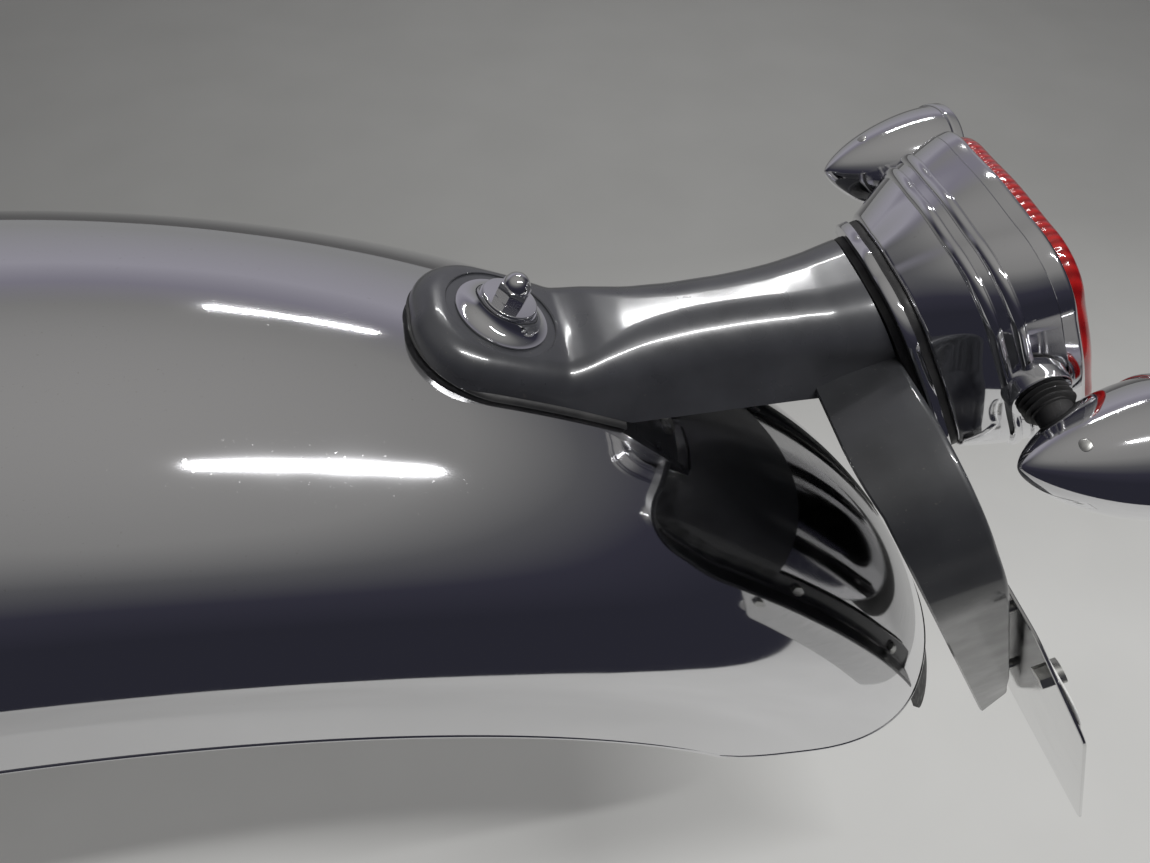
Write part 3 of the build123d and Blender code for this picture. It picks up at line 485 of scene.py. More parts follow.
# Carrier arm: topLine holds (x, z), sections hold (x, half width on top, at the foot, corner radius) and
# pocket is the profile round the stud, (radius, height over its floor)
arm = {"halfWidth": 28.0, "front": 190.1, "frontReach": 21.9, "frontRound": 24.0, "baseRadius": 527.5,
       "beamBottom": -69.99, "endX": 346.2, "crowning": 1.6, "level": (225, 262), "seat": 3.5,
       "sideCount": 130, "roundCount": 40, "noseCount": 3, "window": 15, "sectionWindow": 21, "deepest": 90.0,
       "topLine": ((239, -44.3), (244, -43.9), (251, -42.6), (262, -41.2), (275, -39.9), (290, -38.7),
                   (305, -37.8), (320, -36.7), (333, -35.0), (346.2, -31.5), (352, -30), (400, -18)),
       "sections": ((150, 28, 28, 8), (225, 28, 28, 8), (236, 27, 28, 9.5), (246, 24.5, 28, 12),
                    (256, 21.5, 28, 15), (268, 18.5, 28, 17.5), (282, 17, 28, 19.5), (300, 17, 28, 19.5),
                    (312, 18.5, 28, 19.5), (322, 20.5, 28.3, 19.5), (334, 24.5, 29, 20.5),
                    (346.2, 27.5, 31, 22), (352, 27.5, 31, 22))}
pocket = ((0, 0), (20.5, 0), (20.5, 0.7), (21, 1.2), (22.1, 1.6), (23.1, 4), (0, 4))
hollow = {"front": 276.75, "half": 24.5, "top": -42.0, "topHalf": 12.5, "radius": 15.0, "lean": 12 / 31.5,
          "low": (-80, -66), "mouth": 7}
armTable = np.arange(150.0, 400.0, 0.5)
armHalf, frontEnd = arm["halfWidth"], arm["front"] + arm["frontReach"]


# Top line: the base's arc over the crown, then the rise to the beam, its run and the bell mouth
def armTop(x):
    arc = np.sqrt(arm["baseRadius"] ** 2 - armTable ** 2) - crown
    line = np.array(arm["topLine"])
    z = np.where(armTable < line[0, 0], arc, np.interp(armTable, line[:, 0], line[:, 1]))
    return np.interp(x, armTable, smoothed(z, arm["window"]))


# Half widths of the section's top and foot before rounding, and its top corners' radius, smoothed along x
def armSection(x):
    places, *lines = np.array(arm["sections"]).T
    lines = [np.interp(armTable, places, line) for line in lines]
    return [np.interp(x, armTable, smoothed(line, arm["sectionWindow"])) for line in lines]


# Plan: straight side from the lamp, then the round front, with its inward direction, then both mirrored
def armPath():
    reach, flat = arm["frontReach"], armHalf - arm["frontRound"]
    back = np.linspace(arm["endX"], frontEnd, arm["sideCount"])
    t = np.linspace(0, turnRight, arm["roundCount"])[1:]
    count = arm["noseCount"]
    x = np.concatenate((back, arm["front"] + reach * (1 - np.sin(t)), np.full(count, arm["front"])))
    y = np.concatenate((np.full(len(back), armHalf), flat + arm["frontRound"] * np.cos(t),
                        np.linspace(flat, 0, count + 1)[1:]))
    inX = np.concatenate((np.zeros(len(back)), np.sin(t), np.ones(count)))
    inY = np.concatenate((-np.ones(len(back)), -np.cos(t), np.zeros(count)))
    return [np.concatenate((values, sign * values[-2::-1]))
            for values, sign in ((x, 1), (y, -1), (inX, 1), (inY, -1))]


# Top line at x, then down along a direction that turns from the stud's to the rear plane's
def armPoint(x, y, down):
    share = smoothStep(x, stud["x"], arm["endX"])
    lean = -stud["lean"] + (stud["lean"] + rear["tilt"]) * share
    return np.stack((x + down * np.sin(lean), y, armTop(x) - down * np.cos(lean)), -1)


# Distance down to the seat on the crown, or to the beam's underside, found by halving
def armDepth(x, y):
    low, high = np.zeros_like(x), np.full_like(x, arm["deepest"])
    for halving in range(30):
        middle = (low + high) / 2
        point = armPoint(x, y, middle)
        over = crownHeight(point[..., 0], point[..., 1], arm["seat"])
        inside = point[..., 2] > np.maximum(over, arm["beamBottom"])
        low, high = np.where(inside, middle, low), np.where(inside, high, middle)
    return (low + high) / 2


# Section: a wall that leans from the foot's half width to the top's, an arc of the corner radius
# that starts along the wall and ends level, and a top that falls slightly to its edges
def armBody():
    x, y, inX, inY = armPath()
    topHalf, footHalf, radius = armSection(x)
    full = armDepth(x, y)
    lean = np.arctan((footHalf - topHalf) / full)
    flat = topHalf - radius * np.tan((turnRight - lean) / 2)
    crowning = arm["crowning"] * (1 - smoothStep(x, *arm["level"]))
    centreX = np.maximum(x, frontEnd)

    def place(half, down):
        offset = armHalf - half
        px, py = x + inX * offset, y + inY * offset
        return armPoint(px, py, down + crowning * np.minimum(1, (py / armHalf) ** 2))

    rows = []
    for share in (0.0, 0.5):
        px, py = centreX + (x - centreX) * share, y * share
        rows.append(armPoint(px, py, armDepth(px, py)))
    rows.append(place(footHalf, full))
    wallTop = radius * (1 - np.sin(lean))
    for share in np.linspace(1, 0, 14)[1:-1]:
        down = wallTop + (full - wallTop) * share
        rows.append(place(topHalf + (footHalf - topHalf) * down / full, down))
    for share in np.linspace(0, 1, 18):
        angle = lean + (turnRight - lean) * share
        rows.append(place(flat + radius * np.cos(angle), radius * (1 - np.sin(angle))))
    edgeX, edgeY = x + inX * (armHalf - flat), y + inY * (armHalf - flat)
    for share in np.linspace(1, 0, 10)[1:]:
        px, py = centreX + (edgeX - centreX) * share, edgeY * share
        rows.append(armPoint(px, py, crowning * np.minimum(1, (py / armHalf) ** 2)))
    return np.array(rows)


# Cable hollow: the beam's section set in, from its front wall to the rear plane
def armHollow():
    slope = math.atan(hollow["lean"])
    radius, high = hollow["radius"], hollow["top"]
    flat = hollow["topHalf"] - radius * math.tan((turnRight - slope) / 2)
    half = [(hollow["half"], low) for low in hollow["low"]]
    half += [(flat + radius * math.cos(a), high - radius * (1 - math.sin(a)))
             for a in np.linspace(slope, turnRight, 10)]
    ring = np.array(half + [(-u, v) for u, v in half[::-1]])
    mouth = hollow["mouth"]
    endX = rear["x"] - mouth * cosTilt - (ring[:, 1] - rear["z"] + mouth * sinTilt) / cosTilt * sinTilt
    rings = [np.stack((depth, *ring.T), -1) for depth in (np.full(len(ring), hollow["front"]), endX)]
    return np.array([closeRing(rings[0]), *rings, closeRing(rings[1])])


# Arm less the stud's pocket and the cable hollow
def makeArm():
    body = armBody()
    ends = np.stack((body[:, 0], body[:, -1]), 1)
    piece = addPiece("carrier_arm", [(body, False, False, 0), (ends, False, False, 0)], armPaint,
                     "lamp_arm", 40)
    dish = lathe(studFoot, studAxis, (0, 1, 0), *zip(*pocket))
    cutHoles(piece, [dish, armHollow()], 40)


makeArm()
print("arm made")

# Nut, washer and dished cone on the stud: profiles hold (radius, height over the pocket's floor)
fixing = {"coneFoot": ((3.4, 0), (16.6, 0), (17, 0.3), (17, 0.6)), "coneTop": ((10.2, 6.5), (3.4, 6.5)),
          "flare": (17, 6.5, 0.9, 5.6), "washer": ((3.4, 6.5), (10, 6.5), (10, 8.1), (3.4, 8.1)),
          "nutFoot": 8.1, "flats": 10, "tall": 5.5, "edge": 1, "chamfer": (5.05, 1.9), "dome": 4.7,
          "segments": 192}


# The cone flares as 1 - (1 - t) to the 1.9; the nut is a hexagon trimmed by a chamfer cone, under a dome
def makeFixing():
    t = np.linspace(0, 1, 24)
    wide, fall, low, rise = fixing["flare"]
    flare = np.stack((wide - fall * (1 - (1 - t) ** 1.9), low + rise * t ** 1.7), -1)
    cone = np.concatenate((fixing["coneFoot"], flare, fixing["coneTop"]))
    grid = lathe(studFoot, studAxis, (0, 1, 0), *cone.T, 128)
    addRings("dished_cone", grid, chrome, "cone_cup", 40, True)
    grid = lathe(studFoot, studAxis, (0, 1, 0), *rounded(fixing["washer"], 0.5).T)
    addRings("nut_washer", grid, chrome, "flange_washer", 40, True)
    count, tall, edge = fixing["segments"], fixing["tall"], fixing["edge"]
    sector = (fullTurn(count) + math.pi / 6) % (math.pi / 3) - math.pi / 6
    hexagon = fixing["flats"] / 2 / np.cos(sector)
    heights = np.concatenate((np.linspace(0, edge, 6), np.linspace(edge + 0.1, tall - edge - 0.1, 5),
                              np.linspace(tall - edge, tall, 6)))
    narrow, slope = fixing["chamfer"]
    chamfer = narrow + np.minimum(heights, tall - heights) * slope
    t = np.linspace(0, turnRight, 20)
    dome = np.outer(fixing["dome"] * np.cos(t), np.ones(count))
    radii = np.concatenate((np.zeros((1, count)), np.minimum(hexagon[None], chamfer[:, None]), dome))
    heights = np.concatenate(([0], heights, tall + fixing["dome"] * np.sin(t))) + fixing["nutFoot"]
    grid = lathe(studFoot, studAxis, (0, 1, 0), radii, heights, count)
    addRings("acorn_nut", grid, chrome, "cap_nut", 28)


makeFixing()
print("fixing made")

# Yoke behind the arm with its two legs: corners of the half outline in y and w; the far shoulder is
# lower, as nothing of it shows over the arm
yoke = {"near": ((25, -28), (58, -24), (84, -33), (99, -60), (103.2, -74.5), (104, -88)),
        "far": ((25, -34), (42, -44), (82, -84), (95, -106), (99.4, -118), (99.6, -133)),
        "foot": (77, -343), "tip": -318.0, "tipRun": 25 / 18, "stretchFrom": -250, "rows": 180, "window": 9,
        "depth": ((-343, -150, -33, -21), (21, 28.5, 33, 36)), "flange": 18.0, "wall": 3.0, "fillet": 1.2,
        "edge": 0.8, "face": -3.0, "round": 2.2, "arm": 25.0, "webTop": -49.5, "webBottom": -130.0,
        "webInset": 6, "overlap": 0.05}


# Points of the circle through three points
def arcThrough(a, b, c, count):
    a, b, c = (complex(*p) for p in (a, b, c))
    w = (c - a) / (b - a)
    centre = a + (b - a) * (w - abs(w) ** 2) / (2j * w.imag)
    start, end = np.angle(a - centre), np.angle(c - centre)
    sweep = (end - start + math.pi) % (2 * math.pi) - math.pi
    t = start + sweep * np.linspace(0, 1, count)
    points = centre + abs(a - centre) * np.exp(1j * t)
    return np.stack((points.real, points.imag), -1)


# Half outline from the notch beside the arm, over the shoulder's two arcs and down the leg, evenly spaced
def yokePath(corners):
    start, shoulder, middle, bend, curve, widest = corners
    path = np.concatenate((np.linspace(start, shoulder, 12, endpoint=False),
                           arcThrough(shoulder, middle, bend, 20)[:-1],
                           arcThrough(bend, curve, widest, 12)[:-1],
                           np.linspace(widest, yoke["foot"], 60)))
    length = np.concatenate(([0], np.cumsum(np.linalg.norm(np.diff(path, axis=0), axis=1))))
    even = np.linspace(0, length[-1], yoke["rows"])
    return np.stack([smoothed(np.interp(even, length, values), yoke["window"], mode="reflect",
                              reflect_type="odd") for values in path.T], -1)


# Closed slab from rows of its four corners
def slabSheets(ring):
    ends = [(np.stack((ring[row][:2], ring[row][:1:-1])), False, False, 0) for row in (0, -1)]
    return [(ring, False, True, 0)] + ends


# Each flange is one loop of (inset from the outline, share of the way forward, extra) carried along
# its outline: s = face - extra - share (depth + face); the web between the flanges is flat
def makeYoke():
    wall, face, flange, edge = yoke["wall"], yoke["face"], yoke["flange"], yoke["edge"]
    fillet = wall + yoke["fillet"]
    profile = [(0.0, 1.0, -edge), (0.0, 0.75, 0), (0.0, 0.5, 0), (0.0, 0.25, 0)]
    profile += [(yoke["round"] * (1 - math.cos(a)), 0, yoke["round"] * (1 - math.sin(a)))
                for a in np.linspace(0, turnRight, 7)]
    profile += [(flange * 0.5, 0, 0), (flange, 0, 0), (flange, 0, wall), (fillet, 0, wall),
                (wall, 0, fillet), (wall, 0.3, 0), (wall, 0.7, 0), (wall, 1.0, -edge), (wall / 2, 1.0, 0)]
    sheets = []
    for side, corners in ((-1, yoke["near"]), (1, yoke["far"])):
        path = yokePath(corners)
        ahead = np.gradient(path, axis=0)
        ahead /= np.linalg.norm(ahead, axis=1)[:, None]
        inward = np.stack((ahead[:, 1], -ahead[:, 0]), -1)
        inward *= np.sign((inward * (np.array([0, -150]) - path)).sum(1))[:, None]
        depth = np.interp(path[:, 1], *yoke["depth"])
        stretch = smoothStep(path[:, 1], yoke["stretchFrom"], yoke["foot"][1])
        rows = []
        for inset, share, extra in profile:
            s = face - extra - share * (depth + face)
            u, w = (path + inward * inset).T
            w = w + (yoke["tip"] + (s - face) * yoke["tipRun"] - yoke["foot"][1]) * stretch
            rows.append(rearPoint(s, side * u, w))
        points = np.stack(rows, 1)
        sheets.append((points, False, True, 0))
        sheets += [(np.stack((points[row], closeRing(points[row]))), False, True, 0) for row in (0, -1)]
        top = path[:, 1].argmax()
        levels = np.linspace(path[0, 1] - 1, yoke["webBottom"], 24)
        wide = side * (np.interp(-levels, -path[top:, 1], path[top:, 0]) - yoke["webInset"])
        narrow = np.full(24, side * yoke["arm"])
        sheets += slabSheets(np.stack([rearPoint(s, u, levels) for s, u in (
            (face, narrow), (face, wide), (face - wall, wide), (face - wall, narrow))], 1))
    levels = np.linspace(yoke["webTop"], yoke["webBottom"], 8)
    middle = np.full(8, yoke["arm"] + 1)
    front, back = face - wall + yoke["overlap"], face - yoke["overlap"]
    sheets += slabSheets(np.stack([rearPoint(s, u, levels) for s, u in (
        (back, -middle), (back, middle), (front, middle), (front, -middle))], 1))
    addPiece("plate_carrier", sheets, yokePaint, "plate_yoke", 40)


makeYoke()
print("yoke made")

# Tail lamp: outlines hold half widths at the top and the bottom, then heights of the top and the bottom
lamp = {"foot": (30.0, 54.0, -4.5, -94.0), "rim": (46.0, 58.0, 1.5, -97.0), "corner": 25.0, "bulge": 1.6,
        "gasket": -4.5, "band": 4.0, "seal": 3.0, "sealInset": -1.3, "housing": 38.0, "swell": 2.0,
        "ribs": (17.0, 24.0), "ribWidth": 2.1, "ribHeight": 1.5, "ribMiddle": 1.75, "footRound": 1.2,
        "wall": 2.0, "deep": 34, "edges": (0.6, 0.8, 0.5), "bezel": 6.0, "bezelRound": 2.0, "bezelWall": 4.0,
        "lens": 12.0, "lensRound": 5.0, "lensInset": 4.4, "lensDome": (0.2, 14, 24),
        "boss": ((0, 44), (11, 44), (11, 56.5), (0, 56.5))}
# Indicators, whose stems also place the lamp's bosses: lengths run back from x, at half from the middle
signal = {"x": 399.27, "z": -50.07, "half": 84.0, "rimX": 23.0, "tip": -25.0, "radius": 24.0, "thick": 1.5,
          "openFrom": 4.0, "rim": (21.0, 25.0), "rimWidth": 5.0, "glass": 20.7, "glassBulge": 6.0,
          "screw": (389.5, 87.0, -37.6), "screwLean": (-0.6, 0.19, 0.777),
          "button": ((0, -0.5), (2.3, -0.5), (2.3, 0.5), (0, 1.1)),
          "stem": (56.5, 70.0), "stemRadius": 6.5, "ribHeight": 2.5, "ribEnd": 63.5, "ribPitch": 2.2}


# Rounded outline in y and w: arcs about fixed centres, joined by runs that bulge slightly
def lampOutline(sizes, outset):
    top, bottom, high, low = sizes
    corners = np.array([(bottom, low), (top, high), (-top, high), (-bottom, low)])
    sides = np.roll(corners, -1, 0) - corners
    normals = np.stack((sides[:, 1], -sides[:, 0]), -1)
    normals /= np.linalg.norm(normals, axis=1)[:, None]
    points = []
    for number in range(4):
        before, after = normals[number - 1], normals[number]
        centre = corners[number] - (before + after) * lamp["corner"] / (1 + before @ after)
        start = math.atan2(before[1], before[0])
        sweep = (math.atan2(after[1], after[0]) - start) % (2 * math.pi)
        t = start + sweep * np.linspace(0, 1, 14)
        points.append(centre + (lamp["corner"] + outset) * np.stack((np.cos(t), np.sin(t)), -1))
    joined = []
    for number in range(4):
        joined.append(points[number])
        share = np.linspace(0, 1, 26)[1:-1, None]
        gap = points[number][-1] * (1 - share) + points[(number + 1) % 4][0] * share
        joined.append(gap + normals[number] * lamp["bulge"] * np.sin(math.pi * share) ** 2)
    return np.concatenate(joined)


# Rings of (s, share of the way from foot to rim, outset), closed at both ends or into a loop
def lampBody(name, stations, finish, node, ends=True):
    rings = []
    for s, share, outset in stations:
        sizes = [a + (b - a) * share for a, b in zip(lamp["foot"], lamp["rim"])]
        rings.append(rearPoint(s, *lampOutline(sizes, outset).T))
    if ends:
        rings = [closeRing(rings[0]), *rings, closeRing(rings[-1])]
    addRings(name, np.array(rings), finish, node, 35, not ends)


# Stations of a band at the lamp's foot with rounded edges
def softBand(start, end, outset, edge):
    near = 0.3 * edge
    return [(start, 0, outset - edge), (start + near, 0, outset - near), (start + edge, 0, outset),
            (end - edge, 0, outset), (end - near, 0, outset - near), (end, 0, outset - edge)]


# Stations round the edge of a face at the rim
def roundEdge(face, outset, radius):
    return [(face - radius * (1 - math.sin(a)), 1, outset - radius * (1 - math.cos(a)))
            for a in np.linspace(0, turnRight, 7)]


# The housing swells as a half sine and carries two ribs of elliptic section
def makeLamp():
    band, seal, length = lamp["band"], lamp["band"] + lamp["seal"], lamp["housing"]
    gasketEdge, footEdge, sealEdge = lamp["edges"]
    stations = softBand(yoke["face"], 0, lamp["gasket"], gasketEdge)
    lampBody("lamp_gasket_rubber", stations, rubber, "lamp_gasket")
    lampBody("lamp_foot_chrome", softBand(0, band, 0, footEdge), chrome, "lamp_foot")
    stations = softBand(band, seal, lamp["sealInset"], sealEdge)
    lampBody("lamp_foot_seal", stations, rubber, "foot_seal")
    end = seal + length
    reach = np.linspace(0, length, 120)
    outset = lamp["swell"] * np.sin(math.pi * reach / length)
    for rib in lamp["ribs"]:
        across = (reach - rib - lamp["ribMiddle"]) / lamp["ribWidth"]
        outset += lamp["ribHeight"] * np.sqrt(np.clip(1 - across ** 2, 0, 1))
    outset -= lamp["footRound"] * np.clip(1 - reach / lamp["footRound"], 0, 1) ** 2
    stations = [(seal + r, r / length, o) for r, o in zip(reach, outset)]
    stations += [(end - d, 1 - d / length, -lamp["wall"]) for d in np.linspace(0, lamp["deep"], 12)]
    stations.append((seal + 2, 0.05, -lamp["wall"] - 1))
    lampBody("lamp_housing_chrome", stations, chrome, "lamp_housing")
    boss = rounded(lamp["boss"], 1.0)
    for side, name in ((-1, "left"), (1, "right")):
        grid = lathe((signal["x"], 0, signal["z"]), (0, side, 0), (1, 0, 0), *boss.T, 72)
        addRings("stem_boss_" + name, grid, chrome, None)
    face, inner = end + lamp["bezel"], -lamp["bezelWall"]
    stations = [(end, 1, inner), (end, 1, -0.3), (end + 0.3, 1, 0), (end + 1.5, 1, 0)]
    stations += roundEdge(face, 0, lamp["bezelRound"]) + [(face, 1, inner + 0.6), (face - 0.6, 1, inner)]
    lampBody("lamp_bezel_chrome", stations, chrome, "lamp_bezel", ends=False)
    face, inner = end + lamp["lens"], -lamp["lensInset"]
    rise, first, second = lamp["lensDome"]
    stations = [(end, 1, inner), (face - lamp["lensRound"], 1, inner)]
    stations += roundEdge(face, inner, lamp["lensRound"])
    stations += [(face + rise, 1, -first), (face + rise, 1, -second)]
    lampBody("lamp_lens_red", stations, redLens, "lamp_lens")


makeLamp()
print("lamp made")


# Bowl: with t the share of the way back, r = radius (1 - (1 - t) to the 1.5) to the 0.7
def makeSignals():
    share = np.linspace(0, 1, 60) ** 2
    rimX, width = signal["rimX"], signal["rimWidth"]
    outerX = signal["tip"] + (rimX - signal["tip"]) * share
    outerR = signal["radius"] * (1 - (1 - share) ** 1.5) ** 0.7
    inner = outerR > signal["openFrom"]
    innerR, innerX = outerR[inner][::-1] - signal["thick"], outerX[inner][::-1]
    bowlR = np.concatenate((outerR, innerR, [0]))
    bowlX = np.concatenate((outerX, innerX, innerX[-1:]))
    narrow, wide = signal["rim"]
    back = rimX + width
    ring = rounded([(narrow, rimX), (wide, rimX), (wide, back), (narrow, back), (narrow, rimX)], 1.3, 8)
    t = np.linspace(0, 1, 24)
    glassR = signal["glass"] * np.concatenate(([0, 1], np.sqrt(1 - t ** 2)))
    glassX = np.concatenate(([rimX, rimX], back + signal["glassBulge"] * t))
    button = rounded(signal["button"], 0.5)
    start, end = signal["stem"]
    run = np.linspace(start, end, 90)
    ribs = np.clip(np.sin((run - start) * 2 * math.pi / signal["ribPitch"] - 0.6), 0, 1)
    ribs = signal["ribHeight"] * ribs * (run < signal["ribEnd"])
    stemR = np.concatenate(([0], signal["stemRadius"] + ribs, [0]))
    stemY = np.concatenate(([start], run, [end]))
    for side, name in ((-1, "left"), (1, "right")):
        origin = (signal["x"], side * signal["half"], signal["z"])
        grid = lathe(origin, (1, 0, 0), (0, 0, 1), bowlR, bowlX, 144)
        addRings("signal_bowl_" + name, grid, chrome, "indicator_bowl_" + name)
        place, normal = (np.array(signal[key]) * (1, side, 1) for key in ("screw", "screwLean"))
        across = np.cross(normal, (0, 1, 0)) / 0.98  # about one long
        grid = lathe(place, normal, across, *button.T, 48)
        addRings("signal_screw_" + name, grid, zinc, None)
        grid = lathe(origin, (1, 0, 0), (0, 0, 1), *ring[:-1].T, 144)
        addRings("signal_rim_" + name, grid, chrome, "indicator_rim_" + name, 40, True)
        grid = lathe(origin, (1, 0, 0), (0, 0, 1), glassR, glassX)
        addRings("signal_lens_" + name, grid, amberLens, "indicator_lens_" + name)
        grid = lathe((signal["x"], 0, signal["z"]), (0, side, 0), (1, 0, 0), stemR, stemY, 72)
        addRings("signal_stem_" + name, grid, rubber, "indicator_stem_" + name)


makeSignals()
print("indicators made")

# Rubber gasket under the arm's base: (offset inwards, height over the crown) round its section
gasket = {"section": ((30, 0.35), (0, 0.35), (-1.2, 1.0), (-1.5, 1.9), (-1.2, 2.8), (0, 3.3), (30, 3.3)),
          "end": 258.5, "noseOut": 3.4, "noseFrom": (-215, -190)}


# Section carried round the arm's plan, its heights measured from the crown; the nose reaches further out
def makeGasket():
    path = np.array(armPath())
    x, y, inX, inY = path[:, path[0] < gasket["end"]]
    x = x - (x < stud["x"]) * gasket["noseOut"] * smoothStep(-x, *gasket["noseFrom"])
    centreX = np.maximum(x, frontEnd)
    rows = []
    for offset, lift in gasket["section"]:
        middle = offset > armHalf
        px, py = (centreX, y * 0) if middle else (x + inX * offset, y + inY * offset)
        rows.append(np.stack((px, py, crownHeight(px, py, lift)), -1))
    grid = np.array(rows)
    ends = np.stack((grid[:, 0], grid[:, -1]), 1)
    addPiece("arm_seat_rubber", [(grid, True, False, 0), (ends, True, False, 0)], rubber,
             "arm_gasket", 50)


makeGasket()

# Flap under the tail, from start to end in degrees along the crown, between two distances from it
flap = {"start": 54.0, "end": 67.5, "half": 76.0, "corner": 22.0, "low": -4.9, "high": -1.9,
        "bevel": 0.7, "bevelAngle": 50}


# Layer under the crown: y runs to a half width that rounds off towards the end
def makeFlap():
    corner = flap["corner"]
    length = crown * math.radians(flap["end"] - flap["start"])
    run = np.concatenate((np.linspace(0, length - corner, 20)[:-1],
                          length - corner + corner * np.sin(np.linspace(0, turnRight, 24))))
    near = np.clip(run - (length - corner), 0, corner)
    half = flap["half"] - corner + np.sqrt(corner ** 2 - near ** 2 + 1e-9)
    y = half[:, None] * np.linspace(-1, 1, 41)[None]
    turn = math.radians(flap["start"]) + run[:, None] / crown
    normal = y / cross
    grids = []
    for lift in (flap["high"], flap["low"]):
        radius = crown - crownDrop(y) + lift * np.sqrt(1 - normal ** 2)
        grids.append(np.stack((radius * np.sin(turn), y + lift * normal, radius * np.cos(turn) - crown), -1))
    piece = addPiece("mud_flap", closedLayer(*grids), rubber, "tail_flap", 40)
    edge = piece.modifiers.new("edges", "BEVEL")
    edge.width = flap["bevel"] * mm
    edge.segments = 2
    edge.limit_method = "ANGLE"
    edge.angle_limit = math.radians(flap["bevelAngle"])


makeFlap()
print("rubber made")

# Panel and blank number plate behind the legs: the panel's top corners are cut off
plate = {"half": 146.0, "top": -116.0, "bottom": -342.0, "cut": 34.0, "thick": 1.5, "corner": 6.0,
         "margin": 6.0, "drop": 15.0, "height": 200.0, "sheet": 1.0, "plateCorner": 14.0, "edge": 0.3}


# Closed sheet: its outline in y and w, rounded at its corners, set in slightly at both faces
def addSheet(name, corners, corner, near, far, finish, node):
    outline = rounded(np.array(corners + corners[:2], float), corner)[1:-1]
    middle = outline.mean(0)
    edge = plate["edge"]
    rings = []
    for s, share in ((near, 0.0), (near, 0.997), (near + edge, 1.0),
                     (far - edge, 1.0), (far, 0.997), (far, 0.0)):
        rings.append(rearPoint(s, *(middle + (outline - middle) * share).T))
    addRings(name, np.array(rings), finish, node, 12)


# The panel's top corners lie one cut inwards and one cut down; the plate hangs a drop below its top
def makePlate():
    half, top, bottom, cut = plate["half"], plate["top"], plate["bottom"], plate["cut"]
    corners = [(-half, bottom), (half, bottom), (half, top - cut), (half - cut, top),
               (cut - half, top), (-half, top - cut)]
    addSheet("panel_sheet", corners, plate["corner"], 0, plate["thick"], polished, "plate_panel")
    half, top = half - plate["margin"], top - plate["drop"]
    bottom = top - plate["height"]
    near = plate["thick"]
    corners = [(-half, bottom), (half, bottom), (half, top), (-half, top)]
    addSheet("blank_plate", corners, plate["plateCorner"], near, near + plate["sheet"], plateWhite,
             "number_plate")


makePlate()
print("plate made")

# CAD pieces that stay take their finishes
cadFinishes = ((zinc, ("saddle_plate", "under_plate", "arm_stud", "cover_screw", "panel_bolt_1",
                       "panel_bolt_2", "panel_bolt_3", "panel_bolt_4", "plate_bolt_1", "plate_bolt_2")),
               (rubber, ("side_pad_left", "side_pad_right", "cable_plug")), (armPaint, ("arm_cover",)))
for finish, names in cadFinishes:
    for mesh in [nodes[name].data for name in names]:
        if not mesh.materials:
            mesh.materials.append(finish)
        for number in range(len(mesh.materials)):
            mesh.materials[number] = finish
print("CAD pieces finished")

# Studio, in metres: floor below the part, the world's stops, strip lights (middle, size, watts) and camera
studio = {"size": 6.0, "drop": 0.45, "nearEdge": -0.92, "sides": (0.45, 0.75),
          "near": [(0.0, (0.024, 0.024, 0.034)), (0.30, (0.036, 0.035, 0.050)), (0.52, (0.10, 0.10, 0.105)),
                   (0.74, (0.24, 0.237, 0.23)), (1.0, (0.30, 0.295, 0.285))],
          "far": [(0.0, 0.26), (0.45, (0.33, 0.32, 0.36)), (0.60, (0.22, 0.21, 0.25)),
                  (0.74, (0.22, 0.217, 0.21)), (1.0, (0.30, 0.295, 0.285))],
          "lamps": {"tubeNear": ((0.88, -0.51, 1.46), (1.06, 0.035), 26),
                    "tubeFar": ((0.74, 1.45, 1.46), (0.78, 0.03), 13)}}
view = {"sensor": 36, "lens": 26.515, "clip": 0.01, "right": (0.9802, -0.1954, 0.0331),
        "up": (0.1311, 0.7645, 0.6312), "back": (-0.1486, -0.6143, 0.7749), "place": (0.1933, -0.216, 0.1665)}


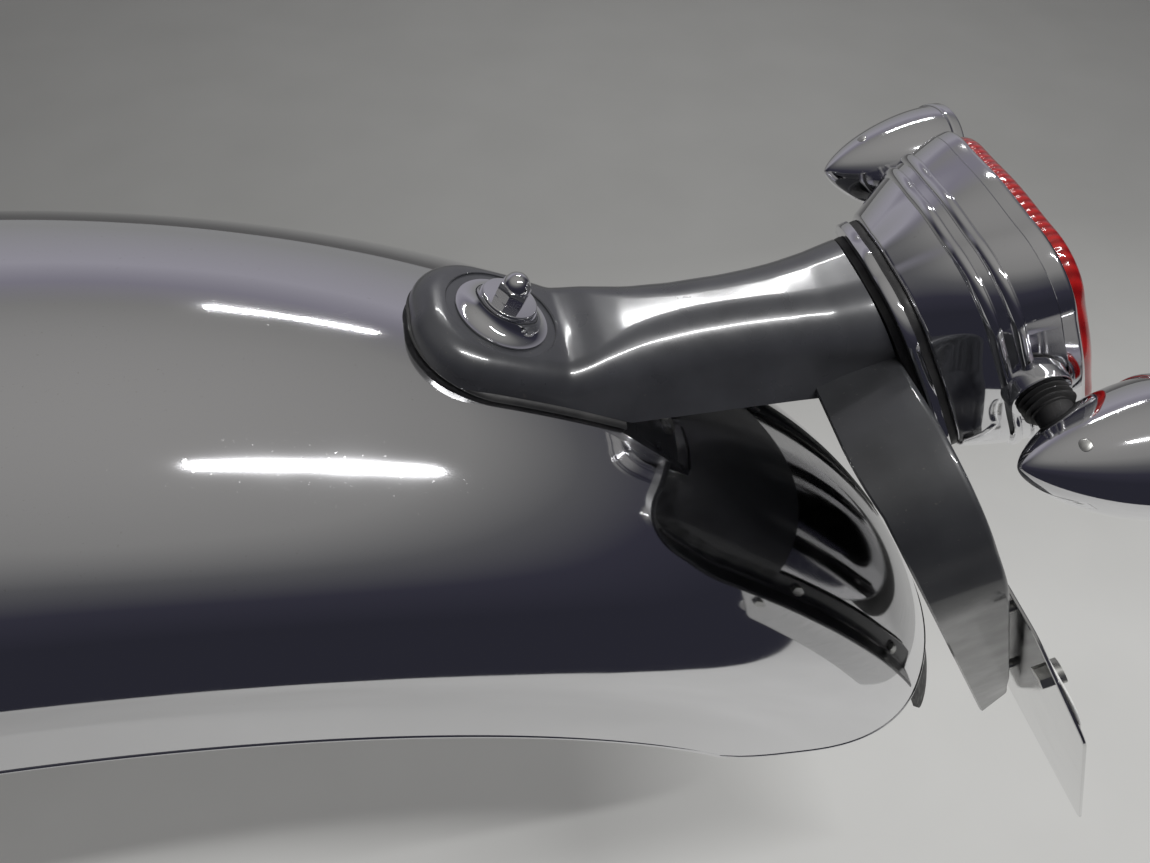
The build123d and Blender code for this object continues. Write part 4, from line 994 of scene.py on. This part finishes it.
# Pale paint with slow blotches, under painted shade that darkens it towards the back
def makeFloor():
    finish = Finish("floor", (0.68, 0.68, 0.66), 0.0, 0.7)
    tone = finish.ramp(finish.noise(5, 5), [(0.3, (0.66, 0.66, 0.64)), (0.7, (0.70, 0.70, 0.68))])
    split = finish.node("ShaderNodeSeparateXYZ")
    finish.link(finish.place, split.inputs["Vector"])
    # Painted shade: the floor's colour falls to 0.55 of itself towards the back
    shade = finish.ramp(split.outputs["Y"], [(0.1, 1.0), (0.9, 0.55)])
    finish.drive("Base Color", finish.mix("MULTIPLY", 1.0, tone, shade))
    size, near = studio["size"], studio["nearEdge"]
    level = cadBounds[0][2] - studio["drop"]
    corners = [(-size, near, level), (size, near, level), (size, size, level), (-size, size, level)]
    mesh = bpy.data.meshes.new("floor")
    mesh.from_pydata(corners, [], [(0, 1, 2, 3)])
    mesh.materials.append(finish.material)
    addObject("floor", mesh)


# The world's colour runs up two ramps, one for the near side and one for the far side
def makeWorld():
    world = bpy.data.worlds.new("studio")
    scene.world = world
    world.use_nodes = True
    tree = world.node_tree
    make, join = tree.nodes.new, tree.links.new
    split = make("ShaderNodeSeparateXYZ")
    join(make("ShaderNodeTexCoord").outputs["Generated"], split.inputs["Vector"])
    sides = make("ShaderNodeMapRange")
    sides.inputs["From Min"].default_value, sides.inputs["From Max"].default_value = studio["sides"]
    join(split.outputs["Y"], sides.inputs["Value"])
    mix = make("ShaderNodeMix")
    mix.data_type = "RGBA"
    join(sides.outputs["Result"], mix.inputs["Factor"])
    for socket, stops in ((6, studio["near"]), (7, studio["far"])):
        ramp = make("ShaderNodeValToRGB")
        fillRamp(ramp, stops)
        join(split.outputs["Z"], ramp.inputs["Fac"])
        join(ramp.outputs["Color"], mix.inputs[socket])
    join(mix.outputs[2], tree.nodes["Background"].inputs["Color"])


# Strip light that shines straight down
def addLamp(name, middle, size, power):
    light = bpy.data.lights.new(name, "AREA")
    light.shape = "RECTANGLE"
    light.size, light.size_y = size
    light.energy = power
    addObject(name, light).location = middle


# Camera fitted to the photograph: the columns of its matrix are right, up, back and place
def addCamera():
    data = bpy.data.cameras.new("camera")
    data.sensor_width = view["sensor"]
    data.lens = view["lens"]
    data.clip_start = view["clip"]
    camera = addObject("camera", data)
    columns = [(*view[key], float(key == "place")) for key in ("right", "up", "back", "place")]
    camera.matrix_world = Matrix(columns).transposed()
    scene.camera = camera


makeFloor()
makeWorld()
for lampName, (middle, size, power) in studio["lamps"].items():
    addLamp(lampName, middle, size, power)
addCamera()
print("stage made")
